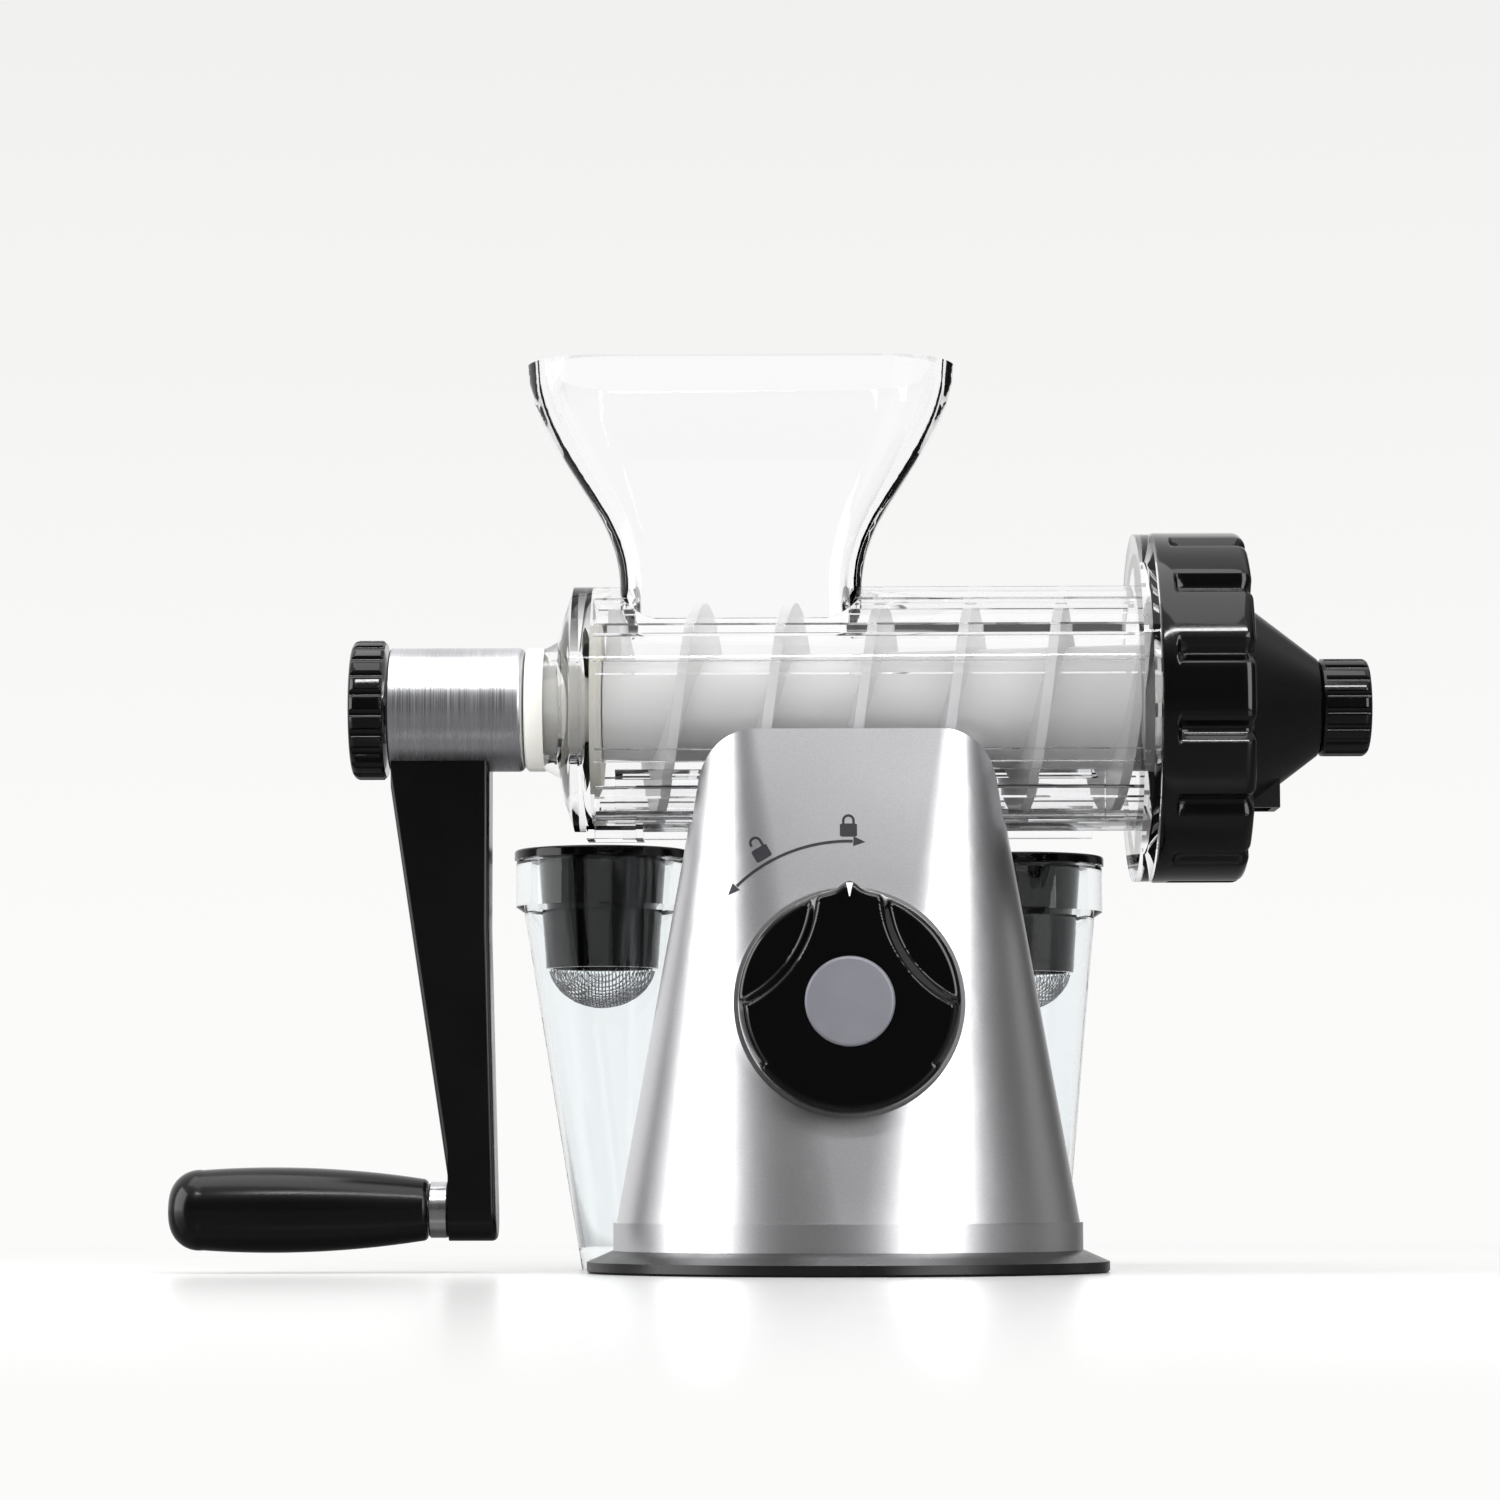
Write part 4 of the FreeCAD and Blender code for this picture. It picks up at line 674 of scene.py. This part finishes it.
def woven_dome(name, node, body):
    """Plain weave over the dome of the solid that it stands for."""
    low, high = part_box(node)
    middle = (low + high) / 2
    radius = (high.x - low.x) / 2 - WIRE
    depth = high.z - low.z - 2 * WIRE
    points, faces = [], []

    def surface(u, v):
        """The dome's point above plan position u, v."""
        reach = min(1.0, (u * u + v * v) / (radius * radius))
        return Vector((middle.x + u, middle.y + v, high.z - depth * math.sqrt(1 - reach) ** DOME_POWER))

    def slope(u, v):
        du = surface(u + SLOPE_STEP, v) - surface(u - SLOPE_STEP, v)
        dv = surface(u, v + SLOPE_STEP) - surface(u, v - SLOPE_STEP)
        return du.cross(dv).normalized()

    count = int(radius / PITCH)
    for way in (0, 1):
        for k in range(-count, count + 1):
            fixed = (k + (0.5 if count % 2 else 0)) * PITCH
            if abs(fixed) > radius * LAST_WIRE:
                continue
            reach = math.sqrt(radius * radius - fixed * fixed) * WIRE_REACH
            steps = max(6, 2 * int(2 * reach / PITCH))
            start = len(points)
            for i in range(steps + 1):
                run = -reach + 2 * reach * i / steps
                u, v = (run, fixed) if way else (fixed, run)
                out = slope(u, v)
                wave = math.cos(math.pi * (run / PITCH + k + way)) * WIRE * WAVE_SHARE
                centre = surface(u, v) + out * wave
                ahead = min(run + WAY_STEP, reach)
                behind = max(run - WAY_STEP, -reach)
                far = surface(ahead, fixed) if way else surface(fixed, ahead)
                near = surface(behind, fixed) if way else surface(fixed, behind)
                along = (far - near).normalized()
                side = along.cross(out).normalized()
                for s in range(WIRE_SIDES):
                    a = 2 * math.pi * s / WIRE_SIDES
                    points.append(centre + (side * math.cos(a) + out * math.sin(a)) * WIRE)
            for i in range(steps):
                for s in range(WIRE_SIDES):
                    a = start + i * WIRE_SIDES + s
                    b = start + i * WIRE_SIDES + (s + 1) % WIRE_SIDES
                    faces.append((a, b, b + WIRE_SIDES, a + WIRE_SIDES))
            faces.append(tuple(start + s for s in range(WIRE_SIDES))[::-1])
            faces.append(tuple(start + steps * WIRE_SIDES + s for s in range(WIRE_SIDES)))
    piece = new_piece(name, points, faces, steel, body)
    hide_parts(node)
    return piece


woven_dome("weave_left", "mesh_left", "left_strainer")
woven_dome("weave_right", "mesh_right", "right_strainer")


# Stage: pale floor, soft studio light, camera at the photograph's angle

# The studio that glossy pieces see, by azimuth in degrees from the camera's side, positive to the right
STUDIO = (
    (-180, 0.92), (-128, 0.80), (-106, 0.30), (-60, 0.22), (-40, 0.045), (10, 0.045), (20, 0.22),
    (62, 0.22), (78, 0.05), (104, 0.05), (113, 0.34), (122, 0.30), (134, 0.05), (152, 0.06), (166, 0.90),
    (180, 0.92),
)
BACKDROP = (1.0, 0.995, 0.99, 1)
BACKDROP_LOW, BACKDROP_HIGH = 0.97, 0.86
STUDIO_ABOVE = 0.85
PLAIN_LIGHT = 0.80
THROUGH_FRONT, THROUGH_BACK = 0.93, 0.98
# Parts of a ray's direction between which one level passes into the next
UPWARD = (0.35, 0.95)
BACKWARD = (-0.7, 0.2)
HORIZON = (0.0, 0.35)
FADE_START, FADE_END = 0.16, 0.75
FLOOR_HALF = 8.0
FLOOR_BELOW = 0.02 * MM
FLOOR_PALE = (colour(0.74), colour(0.77))
FLOOR_MIRRORED = colour(0.10)


def floor():
    """A pale table top that melts into the backdrop; in reflections it is as dark as a studio's table."""
    half = FLOOR_HALF
    corners = [(-half, -half, 0), (half, -half, 0), (half, half, 0), (-half, half, 0)]
    mesh = bpy.data.meshes.new("floor")
    mesh.from_pydata(corners, [], [(0, 1, 2, 3)])
    stage = bpy.data.objects.new("floor", mesh)
    stage.location.z = -FLOOR_BELOW
    bpy.context.scene.collection.objects.link(stage)
    f = Finish("pale_floor")
    tree = f.tree
    rays = add(tree, "ShaderNodeLightPath")
    pale = f.blend(f.noise(3, 2), *FLOOR_PALE)
    f.set(base_color=f.blend(rays.outputs["Is Glossy Ray"], pale, FLOOR_MIRRORED), roughness=0.22)
    flat = add(tree, "ShaderNodeVectorMath", {0: f.place, 1: (1, 1, 0)}, operation="MULTIPLY").outputs[0]
    away = add(tree, "ShaderNodeVectorMath", {0: flat}, operation="LENGTH").outputs["Value"]
    fade = add(tree, "ShaderNodeMapRange", {
        "Value": away, "From Min": FADE_START, "From Max": FADE_END, "To Min": 0.0, "To Max": 1.0,
    }, interpolation_type="SMOOTHSTEP").outputs["Result"]
    backdrop = add(tree, "ShaderNodeEmission", {"Color": BACKDROP, "Strength": BACKDROP_LOW})
    straight = f.combine("MAXIMUM", rays.outputs["Is Camera Ray"], rays.outputs["Is Transmission Ray"])
    seen = f.combine("MULTIPLY", fade, straight)
    mix = add(tree, "ShaderNodeMixShader", {0: seen, 1: f.shader.outputs[0], 2: backdrop.outputs[0]})
    sink = [node for node in tree.nodes if node.type == "OUTPUT_MATERIAL"][0]
    tree.links.new(mix.outputs[0], sink.inputs["Surface"])
    dress(stage, f.material)


def world():
    """A pale backdrop for the camera; glossy pieces see a studio with dark and light sides."""
    made = bpy.data.worlds.new("studio")
    bpy.context.scene.world = made
    made.use_nodes = True
    tree = made.node_tree
    tree.nodes.clear()
    direction = add(tree, "ShaderNodeTexCoord").outputs["Generated"]
    axes = add(tree, "ShaderNodeSeparateXYZ", {"Vector": direction})
    x, y, z = axes.outputs["X"], axes.outputs["Y"], axes.outputs["Z"]

    def level(value, start, end, low, high):
        return add(tree, "ShaderNodeMapRange", {
            "Value": value, "From Min": start, "From Max": end, "To Min": low, "To Max": high,
        }, interpolation_type="SMOOTHSTEP").outputs["Result"]

    def choose(factor, first, second):
        return add(tree, "ShaderNodeMix", {0: factor, 2: first, 3: second}, data_type="FLOAT").outputs[0]

    front = add(tree, "ShaderNodeMath", {0: y, 1: -1.0}, operation="MULTIPLY").outputs[0]
    azimuth = add(tree, "ShaderNodeMath", {0: x, 1: front}, operation="ARCTAN2").outputs[0]
    share = add(tree, "ShaderNodeMapRange", {
        "Value": azimuth, "From Min": -math.pi, "From Max": math.pi, "To Min": 0.0, "To Max": 1.0,
    }).outputs["Result"]
    ramp = add(tree, "ShaderNodeValToRGB", {"Fac": share})
    stops = ramp.color_ramp.elements
    while len(stops) > 1:
        stops.remove(stops[-1])
    for k, (angle, strength) in enumerate(STUDIO):
        stop = stops[0] if k == 0 else stops.new((angle + 180) / 360)
        stop.position = (angle + 180) / 360
        stop.color = colour(strength)
    sides = add(tree, "ShaderNodeRGBToBW", {"Color": ramp.outputs["Color"]}).outputs[0]
    studio = choose(level(z, *UPWARD, 0.0, 1.0), sides, STUDIO_ABOVE)
    through = level(y, *BACKWARD, THROUGH_FRONT, THROUGH_BACK)
    backdrop = level(z, *HORIZON, BACKDROP_LOW, BACKDROP_HIGH)
    rays = add(tree, "ShaderNodeLightPath").outputs
    strength = choose(rays["Is Glossy Ray"], PLAIN_LIGHT, studio)
    strength = choose(rays["Is Transmission Ray"], strength, through)
    strength = choose(rays["Is Camera Ray"], strength, backdrop)
    light = add(tree, "ShaderNodeBackground", {"Color": BACKDROP, "Strength": strength})
    sink = add(tree, "ShaderNodeOutputWorld")
    tree.links.new(light.outputs[0], sink.inputs["Surface"])


def softbox(name, place, wide, high, power):
    data = bpy.data.lights.new(name, "AREA")
    data.shape = "RECTANGLE"
    data.size, data.size_y = wide, high
    data.energy = power
    lamp = bpy.data.objects.new(name, data)
    lamp.location = place
    lamp.rotation_euler = (Vector(MIDDLE) - Vector(place)).to_track_quat("-Z", "Y").to_euler()
    lamp.visible_camera = False
    lamp.visible_transmission = False
    bpy.context.scene.collection.objects.link(lamp)


# Sensor and lens in millimetres, place in metres, angles in degrees
SENSOR_WIDTH, LENS = 36, 108.96
CAMERA_PLACE = (-0.01376, -1.20475, 0.02318)
CAMERA_UP, CAMERA_TURN, CAMERA_ROLL = 5.462, 0.564, -0.111


def camera():
    """Placed just above the table and tilted up, as the photograph was taken."""
    data = bpy.data.cameras.new("camera")
    data.sensor_width = SENSOR_WIDTH
    data.lens = LENS
    view = bpy.data.objects.new("camera", data)
    view.location = CAMERA_PLACE
    aim = Euler((math.radians(90 + CAMERA_UP), 0, math.radians(CAMERA_TURN))).to_matrix()
    view.rotation_euler = (aim @ Matrix.Rotation(math.radians(CAMERA_ROLL), 3, "Z")).to_euler()
    bpy.context.scene.collection.objects.link(view)
    bpy.context.scene.camera = view


# Name, place, width, height and watts of each lamp; all face the object's middle
LAMPS = (
    ("left_box", (-0.95, -0.22, 0.35), 0.7, 0.8, 7.0),
    ("right_box", (0.68, -0.82, 0.42), 0.62, 0.8, 7.0),
    ("top_box", (-0.1, -0.15, 1.1), 1.2, 0.7, 5.0),
    ("strip_high", (0.1, -0.72, 0.86), 0.9, 0.035, 3.4),
)
MIDDLE = (0, 0, 0.11)

floor()
world()
for name, place, wide, high, power in LAMPS:
    softbox(name, place, wide, high, power)
camera()
bpy.context.scene.view_settings.view_transform = "Standard"
